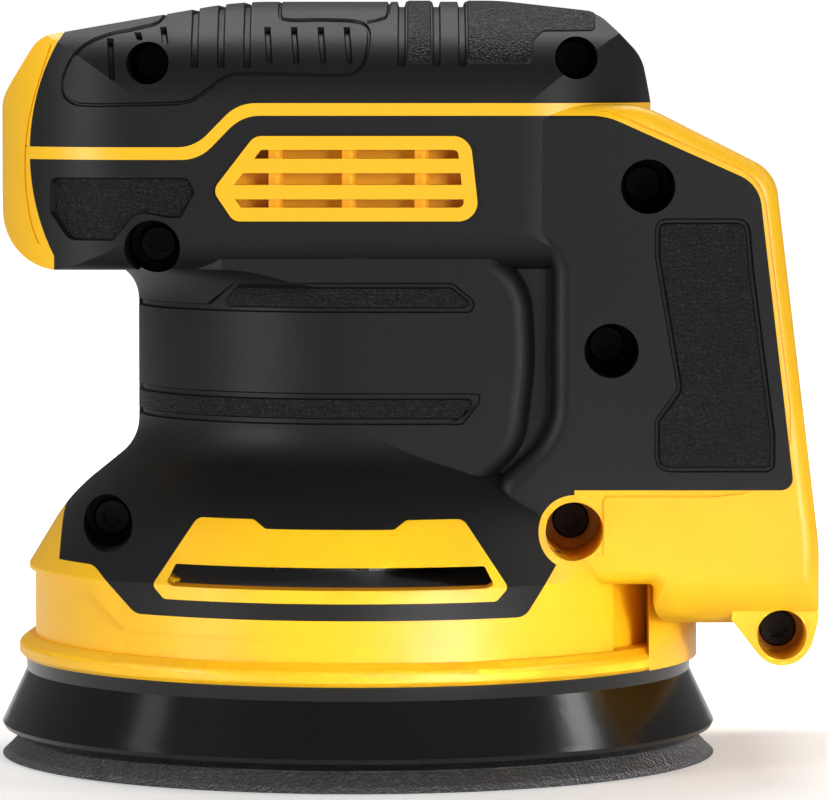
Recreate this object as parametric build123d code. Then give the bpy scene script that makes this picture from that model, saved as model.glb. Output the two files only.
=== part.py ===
from build123d import *
import os
from math import atan2, cos, radians, sin, sqrt

# Cordless palm random-orbit sander, bare tool, in millimetres.
# X runs from the nose (-X) to the battery bay (+X), Y to the tool's right, Z up.
# The origin is on the motor axis, in the plane of the sanding face.

# ---------------------------------------------------------------- driving sizes
# Walls and clearances
SKIN = 2.0                 # rubber and bezel layer over the nylon shell
WALL = 2.5                 # nylon shell
FIT = 0.2                  # between fixed pieces that drop into each other
RUN = 0.02                 # radial running fit of a shaft in its bearing
AIR = 0.6                  # between turning pieces and fixed ones
PROUD = 0.6                # how far the yellow grilles stand off the skin
EDGE_R = 0.5               # rounding of an edge that is meant to be sharp
REACH = 200.0              # longer than anything, for cutting tools

# Sanding pad
ORBIT = 1.3                # pad axis to motor axis
PAD_R = 62.4               # hook face of a 125 mm disc
HOOK_T = 1.0
PAD_EDGE_T = 2.2           # foam at the rim, above the hook face
PAD_BEVEL_R = 61.3         # upper edge of the hook layer
PAD_WAIST_R = 59.2         # foam where it meets the skirt
PAD_CORE_R = 53.0
FOAM_TOP = 8.0
PLATE_R = 52.5
PLATE_T = 3.0
PLATE_WEB_T = 1.8
DUST_HOLES = 8
DUST_HOLE_R = 5.0
DUST_PCR = 32.5            # 65 mm pattern of an eight-hole disc
PAD_SCREWS = 4
PAD_SCREW_PCR = 9.5
PAD_SCREW_R = 1.9
PAD_SCREW_HEAD_H = 2.4
PAD_KEY_R = 1.4
PAD_ACCESS_R = 4.0
PLATE_RIM_W = 4.0
PLATE_RIB_T = 1.8

# Spindle and pad bearing (12 x 28 x 8)
SPINDLE_R = 6.0
SPINDLE_FLANGE_R = 13.5
SPINDLE_FLANGE_T = 3.4
PAD_BEARING_R = 14.0
PAD_BEARING_W = 8.0
CLIP_T = 1.0
CLIP_W = 2.2
CLIP_SLOT = 2.4
COLLAR_W = 1.5             # step of the spindle under the bearing's inner race

# Dust fan and counterweight
FAN_R = 46.0
FAN_HUB_R = 17.0
FAN_DISC_T = 2.0
FAN_VANES = 12
FAN_VANE_T = 1.6
FAN_SWEEP = 30.0
WEIGHT_T = 3.0
WEIGHT_R_OUT = 43.0
WEIGHT_R_IN = 24.0
WEIGHT_ARC = 150.0

# Motor
SHAFT_R = 5.0
SHAFT_TOP_R = 4.0
LOWER_BEARING_R = 13.0     # 10 x 26 x 8
LOWER_BEARING_W = 8.0
UPPER_BEARING_R = 11.0     # 8 x 22 x 7
UPPER_BEARING_W = 7.0
RACE_SHARE = 0.22          # each race's part of a bearing's section
SHIELD_IN = 0.5
MOTOR_PLATE_T = 2.2
CUP_WALL = 2.5
CUP_FLOOR = 1.5
BRACKET_T = 2.0
VENTS = 8
VENT_R = 4.0
VENT_PCR = 23.0
COOLING_FAN_R = 29.0
COOLING_VANES = 11
COOLING_VANE_T = 1.4
COOLING_SWEEP = 25.0
STATOR_R = 27.0
STATOR_YOKE = 3.0
STACK_H = 25.0
COIL_OVERHANG = 3.0
TEETH = 6
TOOTH_W = 5.0
SHOE_T = 2.4
COIL_T = 2.4
SENSOR_FOOT_R = 1.2
ROTOR_R = 13.0
ROTOR_GAP = 0.5
MAGNET_T = 2.2
MAGNET_GAP = 1.2
POLES = 4
HUB_WALL = 3.0             # fan hubs round the shaft
SHAFT_CLEAR = 2.0          # holes that the shaft passes without touching

# Trunk of the housing: neck, dome and base ring
NECK_R = 38.3
NECK_BOTTOM = 55.0
NECK_TOP = 79.6
NECK_FOOT_R = 8.0          # hollow between the neck and the dome
FLARE_R = 6.2              # fillet under the head
DRUM_END_X = 30.4          # the neck's flat-fronted swelling towards the rear block
DRUM_BOTTOM = 44.0
DRUM_CORNER_R = 12.0
DRUM_EDGE_R = 3.5
DRUM_TOP_IN = 1.0          # the swelling's rear line leans in at the top and the bottom
DRUM_BOTTOM_IN = 1.8
DRUM_BOW_R = 48.0
TROUGH_IN = 3.2            # depth of the trough between the swelling and the block
DOME_MID_R = 50.4
DOME_MID_Z = 45.2
DOME_BEND_R = 30.0
RING_R = 56.5
RING_BEAD_R = 57.5
RING_TOP = 33.5
RIM_R = 59.3
RIM_H = 3.8
RIM_EDGE = 0.7             # bevel of the rim's lower edge
RIM_SLOPE = 1.4            # fall of the rim's upper face
BASE_Z = 17.4              # underside of the base ring
LIP_W = 3.0                # proud lip that follows the lower edge of the rubber
LIP_FRONT_X = -46.2        # where the lip leaves the front's level
LIP_DROP_X = -38.6         # where it reaches the exhaust panel's level
LIP_RISE_X = 29.4          # where it turns up to the lowest boss
LIP_BEND_X = 35.2
LIP_END_X = 37.0
LIP_TOP = 37.5             # above the base ring, where the lip has run out
POCKET_X = 43.5            # front end of the pocket ahead of the rear block
POCKET_R = 53.9            # floor of the pocket
HEEL_FRONT_X = 49.7        # where the rear block comes down onto the rim

# Head
NOSE_X = -61.0
CAP_END_X = 50.3
HEAD_W = 80.0
HEAD_BOTTOM = 85.6
HEAD_BELLY_R = 6.5
TOP_Z = 131.0
CROWN_DROP = 9.0           # fall of the crown from its flat to the flank
CROWN_RUN = 18.0
CROWN_EDGE_R = 14.0        # front view: rounding from the flank onto the crown
CROWN_R = 24.0
CROWN_FRONT_X = -20.0      # the crown's level stretch, in side view
CROWN_REAR_X = 24.0
BROW_DROP = 17.0           # top of the nose's upright face, below the crown
BROW_RUN = 7.5             # the brow above it, back from the nose
BROW_FALL = 6.0
CAP_LIP_IN = 1.8           # cap's rear end: its upright lip and its shoulder
CAP_LIP_DROP = 9.5
CAP_SHOULDER_IN = 9.3
CAP_SHOULDER_DROP = 2.0
HEAD_RADII = [11.0, 8.0, 6.0, 60.0, 40.0, 6.0, 8.0, 0.5, 0.5]
NOSE_CORNER_R = 26.0
REAR_CORNER_R = 22.0

# Rear block that carries the battery bay and the dust outlet
BLOCK_W = 79.6
BLOCK_ROOT_X = 20.0        # front of the block inside the head
BLOCK_ROOT_Z = 90.0
BLOCK_FRONT_X = 33.0
BLOCK_KNEE_Z = 58.2        # where the block's front turns forwards to its foot
BLOCK_FOOT_X = 24.0
BLOCK_FOOT_Z = 50.2
BLOCK_TOP = 113.6
BLOCK_TOP_END_X = 48.0
SHOULDER_X = 70.6
SHOULDER_Z = 102.2
HEEL_X = 78.2
HEEL_Z = 39.0
BLOCK_BOTTOM = 25.5
STEP_X = 50.3              # where the block comes down beside the base ring
STEP_Z = 32.6
BLOCK_EDGE_R = 3.0
BLOCK_RADII = [4.0, 14.0, 7.0, 30.0, 4.0, 4.0, 1.0, 4.0, 4.0, 12.0, 5.0, 1.0]
BLOCK_BELLY_R = 9.0        # rounding of the block's underside, seen from behind
LUG_W = 74.0
LUG_X = 72.0
LUG_Z = 24.0
LUG_R = 5.2
LUG_TOE_R = 2.2
LUG_TOE_X = 75.0
LUG_ROOT_X = 63.5
LUG_ROOT_H = 4.0
LUG_TOE_DROP = 0.9

# Battery bay, laid out along the slope of the rear face
BAY_W = 56.0
BAY_DEPTH = 15.0
BAY_FLOOR = 9.0            # up the slope from the heel
BAY_WALL = 2.5
RAIL_OUT = 3.0
RAIL_T = 3.0
RAIL_BACK = 3.2            # rail's outer face, in from the rear face
RAIL_LENGTH = 46.0
TERMINAL_W = 28.0
TERMINAL_H = 16.0
TERMINAL_T = 9.0
TERMINAL_EDGE_R = 1.5
BLADES = 4
BLADE_PITCH = 6.2
BLADE_T = 0.8
BLADE_W = 5.0
BLADE_H = 12.0

# Dust duct and outlet
OUTLET_R = 8.0
OUTLET_WALL = 1.2
OUTLET_Z = 35.6
OUTLET_X = 60.0
WINDOW_W = 20.0
WINDOW_BOTTOM = 21.0
WINDOW_TOP = 30.4
WINDOW_X = 49.5

# Trim lines, in side view
STRIPE_H = 2.1             # yellow rib between the grip and the lower overmould
STRIPE_FRONT_Z = 106.4     # its top edge at the nose
STRIPE_REAR_Z = 113.8      # its top edge over the grille
STRIPE_RISE_X = -27.0
STRIPE_CREST_X = -19.8
STRIPE_LEAN = 0.35         # how far its lower edge turns later, per mm of height
STRIPE_BEND_R = 7.0
NOSE_EDGE_X = -55.3        # back edge of the yellow nose bezel, at its middle
NOSE_EDGE_Z = 106.3
NOSE_EDGE_TOP_X = -49.0
NOSE_EDGE_TOP_Z = 126.0
NOSE_EDGE_LOW_X = -51.0
NOSE_EDGE_LOW_Z = 88.0
NOSE_SEAM_Z = 106.6
BAND_W = 3.4               # yellow band down the rear edge
BAND_TOP_X = 42.0          # where the stripe turns down into the band
BAND_RADII = [12.0, 6.0, 2.0]
SKIRTING_Z = 48.7          # bottom of the rubber on the rear block
LOWER_EDGE_Z = 28.3        # bottom of the rubber at the exhaust panel
LOWER_SIDE_Z = 35.7        # bottom of the rubber at the front
LOWER_SIDE_X = -44.5       # where it steps down towards the exhaust panel
LOWER_PANEL_X = -37.0
LOWER_RISE_X = 28.3        # where it turns up behind the exhaust panel
LOWER_BOSS_X = 33.9
LOWER_BOSS_Z = 36.9
LOWER_BEND_R = 2.5

# Case screws, driven in from the left side
SCREW_R = 1.9
SCREW_HEAD_R = 3.2
SCREW_HEAD_H = 2.2
SCREW_LENGTH = 28.0
SCREW_EDGE_R = 0.8
SCREW_TIP = 0.6
SOCKET_R = 1.5             # hexagon socket, across its corners
SOCKET_T = 1.2
PILOT_WALL = 2.2           # wall of the blind posts that the screws bite into
POST_R = 5.9
BOSS_R = 6.1               # yellow boss round the lowest well
SCREW_SEAT = 14.0          # head's seat to the parting plane
POST_FLOOR = 3.0           # wall under the head's seat
LUG_SEAT = 23.0
CASE_SCREWS = [(-35.0, 120.5, 3.6), (-34.2, 89.5, 4.7), (-42.3, 42.3, 4.5), (37.1, 121.4, 3.6),
               (49.1, 99.8, 4.6), (43.0, 72.2, 4.6), (36.8, 41.8, 4.9)]
LUG_WELL_R = 4.2

# Intake grille and exhaust panel
GRILLE_TOP = 108.3
GRILLE_BOTTOM = 94.0
GRILLE_FRONT_X = -24.0
GRILLE_REAR_X = 20.8
GRILLE_SLANT = 7.0         # its front end runs in at the top and, less, at the bottom
GRILLE_TOE = 3.5
GRILLE_LEAN = 1.6
GRILLE_FRONT_Z = 99.2
GRILLE_RADII = [2.5, 3.2, 3.2, 2.0, 2.0]
GRILLE_RIM = 2.3
GRILLE_BAR = 2.4
GRILLE_POST_XS = (-13.4, -1.1, 11.1)
GRILLE_BAR_ZS = (98.9, 103.3)
EXHAUST_TOP = 44.5
EXHAUST_BOTTOM = 31.2
EXHAUST_FRONT_X = -34.0
EXHAUST_REAR_X = 25.5
EXHAUST_SLOT_TOP = 37.0
EXHAUST_SLOT_BOTTOM = 33.4
EXHAUST_RIM = 2.4
EXHAUST_SLANT = 7.5        # both ends run in towards the top
EXHAUST_TAB = 9.5          # the raised tabs at both ends of its top edge
EXHAUST_DIP = 1.5          # fall of the top edge between them
EXHAUST_CORNER_R = 1.0
SLOT_LEAN = 1.6
SLOT_TOE = 0.6

# Motor plate screws and stator ribs
PLATE_SCREW_IN = 5.0
PLATE_SCREW_R = 1.5
PLATE_SCREW_HEAD_R = 2.8
PLATE_SCREW_HEAD_H = 0.9
PILOT_END = 1.0            # closed end of a boss beyond its pilot hole
PLATE_SCREW_BOSS_R = 3.4
PLATE_SCREW_BOSS_H = 7.0
RIB_T = 1.8
RIBS = 8

# Skirt and brake seal
SKIRT_LIP_R = 62.3
SKIRT_LIP_Z = 5.8
SKIRT_BOTTOM = 3.6
SKIRT_T = 1.8
SKIRT_COLLAR_IN = 1.1      # its collar under the base ring's rim
SKIRT_WAIST_DROP = 2.4
SKIRT_FLARE_DROP = 4.6
SKIRT_FLARE_OUT = 0.8
SKIRT_LIP_EDGE = 0.4
UPSTAND_T = 1.6
UPSTAND_TOP = 20.0
BRAKE_T = 2.0

# Controls in the nose
PADDLE_W = 22.0
PADDLE_BOTTOM = 110.4
PADDLE_TOP = 119.6
PADDLE_GAP = 0.5
PADDLE_IN = 0.4            # its face, below the bezel's
PADDLE_DEPTH = 4.5
SWITCH_GAP = 6.5           # paddle's inner face to the sealed switch
PIVOT_R = 1.0
PIVOT_X = -57.0
PIVOT_Z = 115.0
PIVOT_L = 1.5              # length of each pivot beyond the paddle
DIAL_R = 9.5
DIAL_T = 7.0
DIAL_X = -51.0
DIAL_Z = 98.0
DIAL_RIDGES = 24
DIAL_RIDGE = 0.5
DIAL_SPINDLE_R = 2.0
POT_SIZE = 10.0
POT_H = 4.6
SWITCH_L = 10.4
SWITCH_W = 18.0
SWITCH_H = 10.0

# Electronics in the head
TUB_FRONT_X = -26.0
TUB_L = 64.0
TUB_W = 46.0
TUB_H = 11.0
TUB_Z = 94.0
TUB_WALL = 1.6
BOARD_T = 1.6
CAP_R = 5.0
CAP_L = 20.0
MOSFETS = 6
MOSFET_SIZE = (8.0, 9.0, 2.3)
MOSFET_PITCH = 9.6
MOSFET_ROW_Y = 6.0
CAP_IN = 6.0               # capacitor's end, in from the tub's
CAP_SIDE = 1.0
WEB_T = 2.0
WEB_XS = (-45.0, -19.0, 30.0)
WIRE_R = 1.1
WIRE_BEND_R = 5.0
LEAD_Y = 6.0               # battery leads, either side of the middle
LEAD_Z = 52.0
LEAD_RISE_X = 50.0
LEAD_TURN_Z = 92.0
LEAD_END_X = 35.5
LEAD_END_BEND_R = 1.6

# ------------------------------------------------------------- derived heights
PAD_TOP = FOAM_TOP + PLATE_T
FLANGE_TOP = PAD_TOP + SPINDLE_FLANGE_T
HUB_BOTTOM = FLANGE_TOP + AIR
PAD_BEARING_Z = HUB_BOTTOM + FIT
PAD_BEARING_TOP = PAD_BEARING_Z + PAD_BEARING_W
SPINDLE_TOP = PAD_BEARING_TOP + CLIP_T
SHAFT_BOTTOM = SPINDLE_TOP + AIR
FAN_DISC_Z = SHAFT_BOTTOM
FAN_DISC_TOP = FAN_DISC_Z + FAN_DISC_T
WEIGHT_TOP = FAN_DISC_TOP + WEIGHT_T
FAN_HUB_TOP = WEIGHT_TOP + 0.5 * AIR
MOTOR_PLATE_Z = FAN_HUB_TOP + AIR
MOTOR_PLATE_TOP = MOTOR_PLATE_Z + MOTOR_PLATE_T
LOWER_BEARING_Z = MOTOR_PLATE_Z + CUP_FLOOR
LOWER_BEARING_TOP = LOWER_BEARING_Z + LOWER_BEARING_W
COOLING_DISC_Z = LOWER_BEARING_TOP + 3.0 * AIR
COOLING_DISC_T = 1.6
COIL_BOTTOM = COOLING_DISC_Z + COOLING_DISC_T + 3.5 * AIR
STACK_Z = COIL_BOTTOM + COIL_OVERHANG
STACK_TOP = STACK_Z + STACK_H
COIL_TOP = STACK_TOP + COIL_OVERHANG
SENSOR_Z = COIL_TOP + AIR
SENSOR_TOP = SENSOR_Z + BOARD_T
BRACKET_Z = SENSOR_TOP + AIR
UPPER_BEARING_Z = BRACKET_Z + CUP_WALL
UPPER_BEARING_TOP = UPPER_BEARING_Z + UPPER_BEARING_W
POT_Z = DIAL_Z + DIAL_T / 2 + AIR
SWITCH_FRONT = PADDLE_DEPTH + SWITCH_GAP
SHAFT_TOP = UPPER_BEARING_TOP + 2.0

INNER = SKIN + WALL
BORE_R = RING_R - INNER
SLOPE = atan2(HEEL_X - SHOULDER_X, SHOULDER_Z - HEEL_Z)
BAY = Plane(origin=(HEEL_X, 0, HEEL_Z), x_dir=(0, 1, 0), z_dir=(cos(SLOPE), 0, sin(SLOPE)))


# ---------------------------------------------------------------- shape helpers
def disc(radius, bottom, top, x=0.0, y=0.0):
    """Upright cylinder between two heights."""
    body = Cylinder(radius, top - bottom, align=(Align.CENTER, Align.CENTER, Align.MIN))
    return Pos(x, y, bottom) * body


def ring(outer, inner, bottom, top, x=0.0, y=0.0):
    """Upright tube between two heights."""
    return disc(outer, bottom, top, x, y) - disc(inner, bottom, top, x, y)


def rod_y(radius, x, z, y_from, y_to):
    """Cylinder across the tool."""
    body = Cylinder(radius, y_to - y_from, align=(Align.CENTER, Align.CENTER, Align.MIN))
    return Pos(x, y_from, z) * Rot(-90, 0, 0) * body


def rod_x(radius, y, z, x_from, x_to):
    """Cylinder along the tool."""
    body = Cylinder(radius, x_to - x_from, align=(Align.CENTER, Align.CENTER, Align.MIN))
    return Pos(x_from, y, z) * Rot(0, 90, 0) * body


def block(x_from, x_to, y_from, y_to, z_from, z_to):
    """Box between two opposite corners."""
    body = Box(x_to - x_from, y_to - y_from, z_to - z_from, align=(Align.MIN,) * 3)
    return Pos(x_from, y_from, z_from) * body


def turned(*profile):
    """Solid of revolution about the motor axis from (radius, height) corners."""
    return revolve(make_face(Plane.XZ * Polyline(*profile, close=True)), axis=Axis.Z)


def rounded(points, radii):
    """Flat outline with a radius at each corner."""
    return make_face(FilletPolyline(*points, radius=radii, close=True))


def across(outline, half=REACH):
    """A side-view outline pulled to both sides."""
    return extrude(Plane.XZ * outline, amount=half, both=True)


def shrink(outline, inset):
    """The outline moved inwards, or outwards when the inset is negative."""
    if inset == 0:
        return outline
    return offset(outline, amount=-inset, kind=Kind.INTERSECTION)


def around(shape, count, start=0.0):
    """Copies of a shape turned evenly about the motor axis."""
    return [Rot(0, 0, start + 360.0 * i / count) * shape for i in range(count)]


def left_half(shape):
    return shape & block(-REACH, REACH, -REACH, 0, -REACH, REACH)


def right_half(shape):
    return shape & block(-REACH, REACH, 0, REACH, -REACH, REACH)


# ------------------------------------------------------------- outer envelope
def head(inset=0.0):
    """The palm head: side, plan and front outlines pulled through each other."""
    side = rounded(
        [(NOSE_X, HEAD_BOTTOM), (NOSE_X, TOP_Z - BROW_DROP),
         (NOSE_X + BROW_RUN, TOP_Z - BROW_FALL), (CROWN_FRONT_X, TOP_Z),
         (CROWN_REAR_X, TOP_Z), (CAP_END_X - CAP_SHOULDER_IN, TOP_Z - CAP_SHOULDER_DROP),
         (CAP_END_X - CAP_LIP_IN, TOP_Z - CAP_LIP_DROP), (CAP_END_X, BLOCK_TOP),
         (CAP_END_X, HEAD_BOTTOM)], HEAD_RADII)
    half = HEAD_W / 2
    plan = rounded(
        [(NOSE_X, -half), (NOSE_X, half), (CAP_END_X, half), (CAP_END_X, -half)],
        [NOSE_CORNER_R, NOSE_CORNER_R, REAR_CORNER_R, REAR_CORNER_R])
    flank = half - inset
    crown = TOP_Z - inset
    belly = max(HEAD_BELLY_R - inset, EDGE_R)
    front = rounded(
        [(-flank, HEAD_BOTTOM + inset), (-flank, crown - CROWN_DROP),
         (-flank + CROWN_RUN, crown), (flank - CROWN_RUN, crown), (flank, crown - CROWN_DROP),
         (flank, HEAD_BOTTOM + inset)],
        [belly, CROWN_EDGE_R, CROWN_R, CROWN_R, CROWN_EDGE_R, belly])
    along = extrude(Plane.YZ * front, amount=REACH, both=True)
    up = extrude(shrink(plan, inset), amount=REACH)
    return across(shrink(side, inset)) & up & along


def trunk(inset=0.0):
    """Neck, dome and base ring about the motor axis; only the outer form has the rim."""
    neck, ring_r, bead = NECK_R - inset, RING_R - inset, RING_BEAD_R - inset
    top = NECK_TOP + FLARE_R * 4
    foot = [(ring_r, BASE_Z), (ring_r, RING_TOP)]
    foot_radii = [0, 0]
    if inset <= 0:
        rim = RIM_R - inset
        foot = [(rim - RIM_EDGE, BASE_Z), (rim, BASE_Z + RIM_EDGE),
                (rim, BASE_Z + RIM_H - RIM_SLOPE), (bead, BASE_Z + RIM_H), (bead, RING_TOP)]
        foot_radii = [0, EDGE_R, 2 * EDGE_R, 0, EDGE_R]
    points = [(0, BASE_Z)] + foot + [
        (DOME_MID_R - inset, DOME_MID_Z), (neck, NECK_BOTTOM), (neck, top), (0, top)]
    radii = [0] + foot_radii + [DOME_BEND_R, NECK_FOOT_R, 0, 0]
    return revolve(Plane.XZ * rounded(points, radii), axis=Axis.Z)


def lip_edge():
    """Side-view line of the lip's lower edge on the base ring, from the front to the rear."""
    return [(-REACH, LOWER_SIDE_Z - LIP_W), (LIP_FRONT_X, LOWER_SIDE_Z - LIP_W),
            (LIP_DROP_X, LOWER_EDGE_Z - LIP_W), (LIP_RISE_X, LOWER_EDGE_Z - LIP_W),
            (LIP_BEND_X, LOWER_EDGE_Z + LIP_W), (LIP_END_X, LIP_TOP)]


def base_wall():
    """What is cut off the trunk so that its lower wall stands back from the lip."""
    under_lip = across(make_face(Polyline(
        *lip_edge(), (REACH, LIP_TOP), (REACH, 0), (-REACH, 0), close=True)))
    wall = ring(RING_BEAD_R + 1.0, RING_R, BASE_Z + RIM_H, LIP_TOP)
    pocket = (ring(RING_BEAD_R + 1.0, POCKET_R, BASE_Z + RIM_H, STEP_Z)
              & block(POCKET_X, HEEL_FRONT_X, -REACH, REACH, 0, REACH))
    return (wall & under_lip) + pocket


def base_heel():
    """The rear block's foot, which comes down onto the rim."""
    return (disc(RIM_R, BASE_Z, STEP_Z + 1.0)
            & block(HEEL_FRONT_X, REACH, -REACH, REACH, 0, REACH))


def flare():
    """Fillet that carries the neck into the underside of the head."""
    corner = make_face(Polyline(
        (NECK_R - 1.0, NECK_TOP), (NECK_R, NECK_TOP), (NECK_R + FLARE_R, NECK_TOP + FLARE_R),
        (NECK_R + FLARE_R, HEAD_BOTTOM + 2.0), (NECK_R - 1.0, HEAD_BOTTOM + 2.0), close=True))
    hollow = Pos(NECK_R + FLARE_R, NECK_TOP) * Circle(FLARE_R)
    fillet_ring = revolve(Plane.XZ * (corner - hollow), axis=Axis.Z)
    under_head = block(NOSE_X + INNER, CAP_END_X, -NECK_R, NECK_R, 0, TOP_Z)
    return fillet_ring & under_head


def drum(inset=0.0):
    """Flat-fronted swelling of the neck and the floor of the trough behind it."""
    waist_z = (NECK_BOTTOM + HEAD_BOTTOM) / 2
    outline = rounded(
        [(-inset, DRUM_BOTTOM), (-inset, BLOCK_ROOT_Z),
         (DRUM_END_X - DRUM_TOP_IN, BLOCK_ROOT_Z), (DRUM_END_X, waist_z),
         (DRUM_END_X - DRUM_BOTTOM_IN, NECK_BOTTOM), (DRUM_END_X / 2, DRUM_BOTTOM)],
        [0, 0, DRUM_CORNER_R, DRUM_BOW_R, DRUM_CORNER_R, 0])
    front = NECK_R - inset
    body = across(shrink(outline, inset), front)
    rims = body.faces().filter_by(Axis.Y).edges()
    rims = rims.filter_by(lambda edge: edge.center().X > EDGE_R)
    body = fillet(rims, DRUM_EDGE_R - min(inset, DRUM_EDGE_R / 2))
    floor = front - TROUGH_IN
    return body + block(0, BLOCK_FRONT_X + DRUM_EDGE_R, -floor, floor, DRUM_BOTTOM,
                        BLOCK_ROOT_Z)


def rear_block(inset=0.0):
    """Block behind the neck that carries the battery bay and the dust outlet."""
    outline = rounded(
        [(BLOCK_ROOT_X, BLOCK_TOP), (BLOCK_TOP_END_X, BLOCK_TOP), (SHOULDER_X, SHOULDER_Z),
         (HEEL_X, HEEL_Z), (HEEL_X, BLOCK_BOTTOM), (STEP_X, BLOCK_BOTTOM),
         (STEP_X, STEP_Z), (BLOCK_FOOT_X, STEP_Z), (BLOCK_FOOT_X, BLOCK_FOOT_Z),
         (BLOCK_FRONT_X, BLOCK_KNEE_Z), (BLOCK_FRONT_X, BLOCK_ROOT_Z),
         (BLOCK_ROOT_X, BLOCK_ROOT_Z)], BLOCK_RADII)
    half = BLOCK_W / 2 - inset
    body = across(shrink(outline, inset), half)
    radius = BLOCK_EDGE_R - inset
    if radius > 0:
        body = fillet(body.faces().filter_by(Axis.Y).edges(), radius)
    bottom = BLOCK_BOTTOM + inset
    section = rounded([(-half, bottom), (-half, REACH), (half, REACH), (half, bottom)],
                      [BLOCK_BELLY_R - inset, 0, 0, BLOCK_BELLY_R - inset])
    return body & extrude(Plane.YZ * section, amount=REACH, both=True)


def lug():
    """Screw lug under the heel of the rear block."""
    root = Pos((LUG_ROOT_X + HEEL_X) / 2, BLOCK_BOTTOM + 0.75 * LUG_ROOT_H) * Rectangle(
        HEEL_X - LUG_ROOT_X, LUG_ROOT_H)
    toe = Pos(LUG_TOE_X, LUG_Z - LUG_TOE_DROP) * Circle(LUG_TOE_R)
    outline = make_hull((Pos(LUG_X, LUG_Z) * Circle(LUG_R)).edges() + toe.edges() + root.edges())
    limit = Pos(HEEL_X - REACH, 0) * Rectangle(REACH, REACH, align=(Align.MIN, Align.CENTER))
    return across(outline & limit, LUG_W / 2)


def envelope(inset=0.0):
    """Outer form of the whole housing, moved inwards by the inset."""
    return head(inset) + trunk(inset) + drum(inset) + rear_block(inset)


# ------------------------------------------------------------ trim line regions
def nose_region():
    """Everything in front of the bezel's curved back edge."""
    high = (NOSE_EDGE_TOP_X, NOSE_EDGE_TOP_Z)
    low = (NOSE_EDGE_LOW_X, NOSE_EDGE_LOW_Z)
    edge = ThreePointArc(high, (NOSE_EDGE_X, NOSE_EDGE_Z), low)
    rest = Polyline(low, (NOSE_EDGE_LOW_X, 0), (-REACH, 0), (-REACH, REACH),
                    (NOSE_EDGE_TOP_X, REACH), high)
    return across(make_face(Curve() + [edge, rest]))


def stripe_edge(drop):
    """Corners of the stripe's edge from the nose to the rear, lowered by a drop."""
    return [(-REACH, STRIPE_FRONT_Z - drop),
            (STRIPE_RISE_X + STRIPE_LEAN * drop, STRIPE_FRONT_Z - drop),
            (STRIPE_CREST_X + STRIPE_LEAN * drop, STRIPE_REAR_Z - drop)]


def grip_region():
    """Everything above the yellow stripe."""
    points = stripe_edge(0) + [(REACH, STRIPE_REAR_Z), (REACH, REACH), (-REACH, REACH)]
    return across(rounded(points, [0, STRIPE_BEND_R, STRIPE_BEND_R, 0, 0, 0]))


def overmold_region():
    """Everything between the stripe, the rear band, the yellow base and the nose."""
    boss_x, boss_z, _ = CASE_SCREWS[-1]
    points = stripe_edge(STRIPE_H) + [
        (BAND_TOP_X, STRIPE_REAR_Z - STRIPE_H),
        (SHOULDER_X - BAND_W + EDGE_R, SHOULDER_Z - SKIN),
        (HEEL_X - BAND_W - 2 * EDGE_R, SKIRTING_Z),
        (boss_x, SKIRTING_Z),
        (boss_x, boss_z - SKIN),
        (LOWER_BOSS_X, LOWER_BOSS_Z),
        (LOWER_RISE_X, LOWER_EDGE_Z),
        (LOWER_PANEL_X, LOWER_EDGE_Z),
        (LOWER_SIDE_X, LOWER_SIDE_Z),
        (-REACH, LOWER_SIDE_Z)]
    radii = ([0, STRIPE_BEND_R, STRIPE_BEND_R] + BAND_RADII + [0, 0, 0]
             + [LOWER_BEND_R] * 3 + [0])
    return across(rounded(points, radii) - Pos(boss_x, boss_z) * Circle(BOSS_R))


# ------------------------------------------------------------- battery interface
def bay_space(grow=0.0):
    """The bay's hollow, open at the rear and the top; a growth adds its walls."""
    width = BAY_W + 2 * grow
    length = REACH if grow == 0 else SHOULDER_Z
    body = Box(width, length, REACH / 5,
               align=(Align.CENTER, Align.MIN, Align.MIN))
    return BAY * Pos(0, BAY_FLOOR - grow, -BAY_DEPTH - grow) * body


def bay_rails():
    """Rails on both cheeks of the bay that the battery slides down on."""
    rail = Box(RAIL_OUT, RAIL_LENGTH, RAIL_T, align=(Align.MIN, Align.MIN, Align.MAX))
    place = BAY * Pos(-BAY_W / 2, BAY_FLOOR, -RAIL_BACK)
    left = place * rail
    return left + mirror(left, about=Plane.XZ)


def terminal_block():
    """Moulded block on the bay's floor that holds the contact blades."""
    body = Box(TERMINAL_W, TERMINAL_H, TERMINAL_T, align=(Align.CENTER, Align.MIN, Align.MIN))
    body = fillet(body.edges().filter_by(Axis.Z), TERMINAL_EDGE_R)
    body = BAY * Pos(0, BAY_FLOOR, -BAY_DEPTH) * body
    return body - [blade(i, BLADE_H) for i in range(BLADES)]


def blade(index, height):
    """One contact blade, rooted in the terminal block and standing up the slope."""
    x = (index - (BLADES - 1) / 2) * BLADE_PITCH
    body = Box(BLADE_T, TERMINAL_H / 2 + height, BLADE_W,
               align=(Align.CENTER, Align.MIN, Align.CENTER))
    z = -BAY_DEPTH + TERMINAL_T / 2
    return BAY * Pos(x, BAY_FLOOR + TERMINAL_H / 2, z) * body


# --------------------------------------------------------------- screws and wells
def case_screw(x, z, seat):
    """Pan-head screw lying across the tool, its head towards the left side."""
    head_body = rod_y(SCREW_HEAD_R, x, z, -seat - SCREW_HEAD_H, -seat)
    head_body = fillet(head_body.edges().group_by(Axis.Y)[0], SCREW_EDGE_R)
    socket = Pos(x, -seat - SCREW_HEAD_H, z) * Rot(-90, 0, 0) * extrude(
        RegularPolygon(SOCKET_R, 6), amount=SOCKET_T)
    shank = rod_y(SCREW_R, x, z, -seat, -seat + SCREW_LENGTH)
    return head_body - socket + chamfer(shank.edges().group_by(Axis.Y)[-1], SCREW_TIP)


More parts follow.
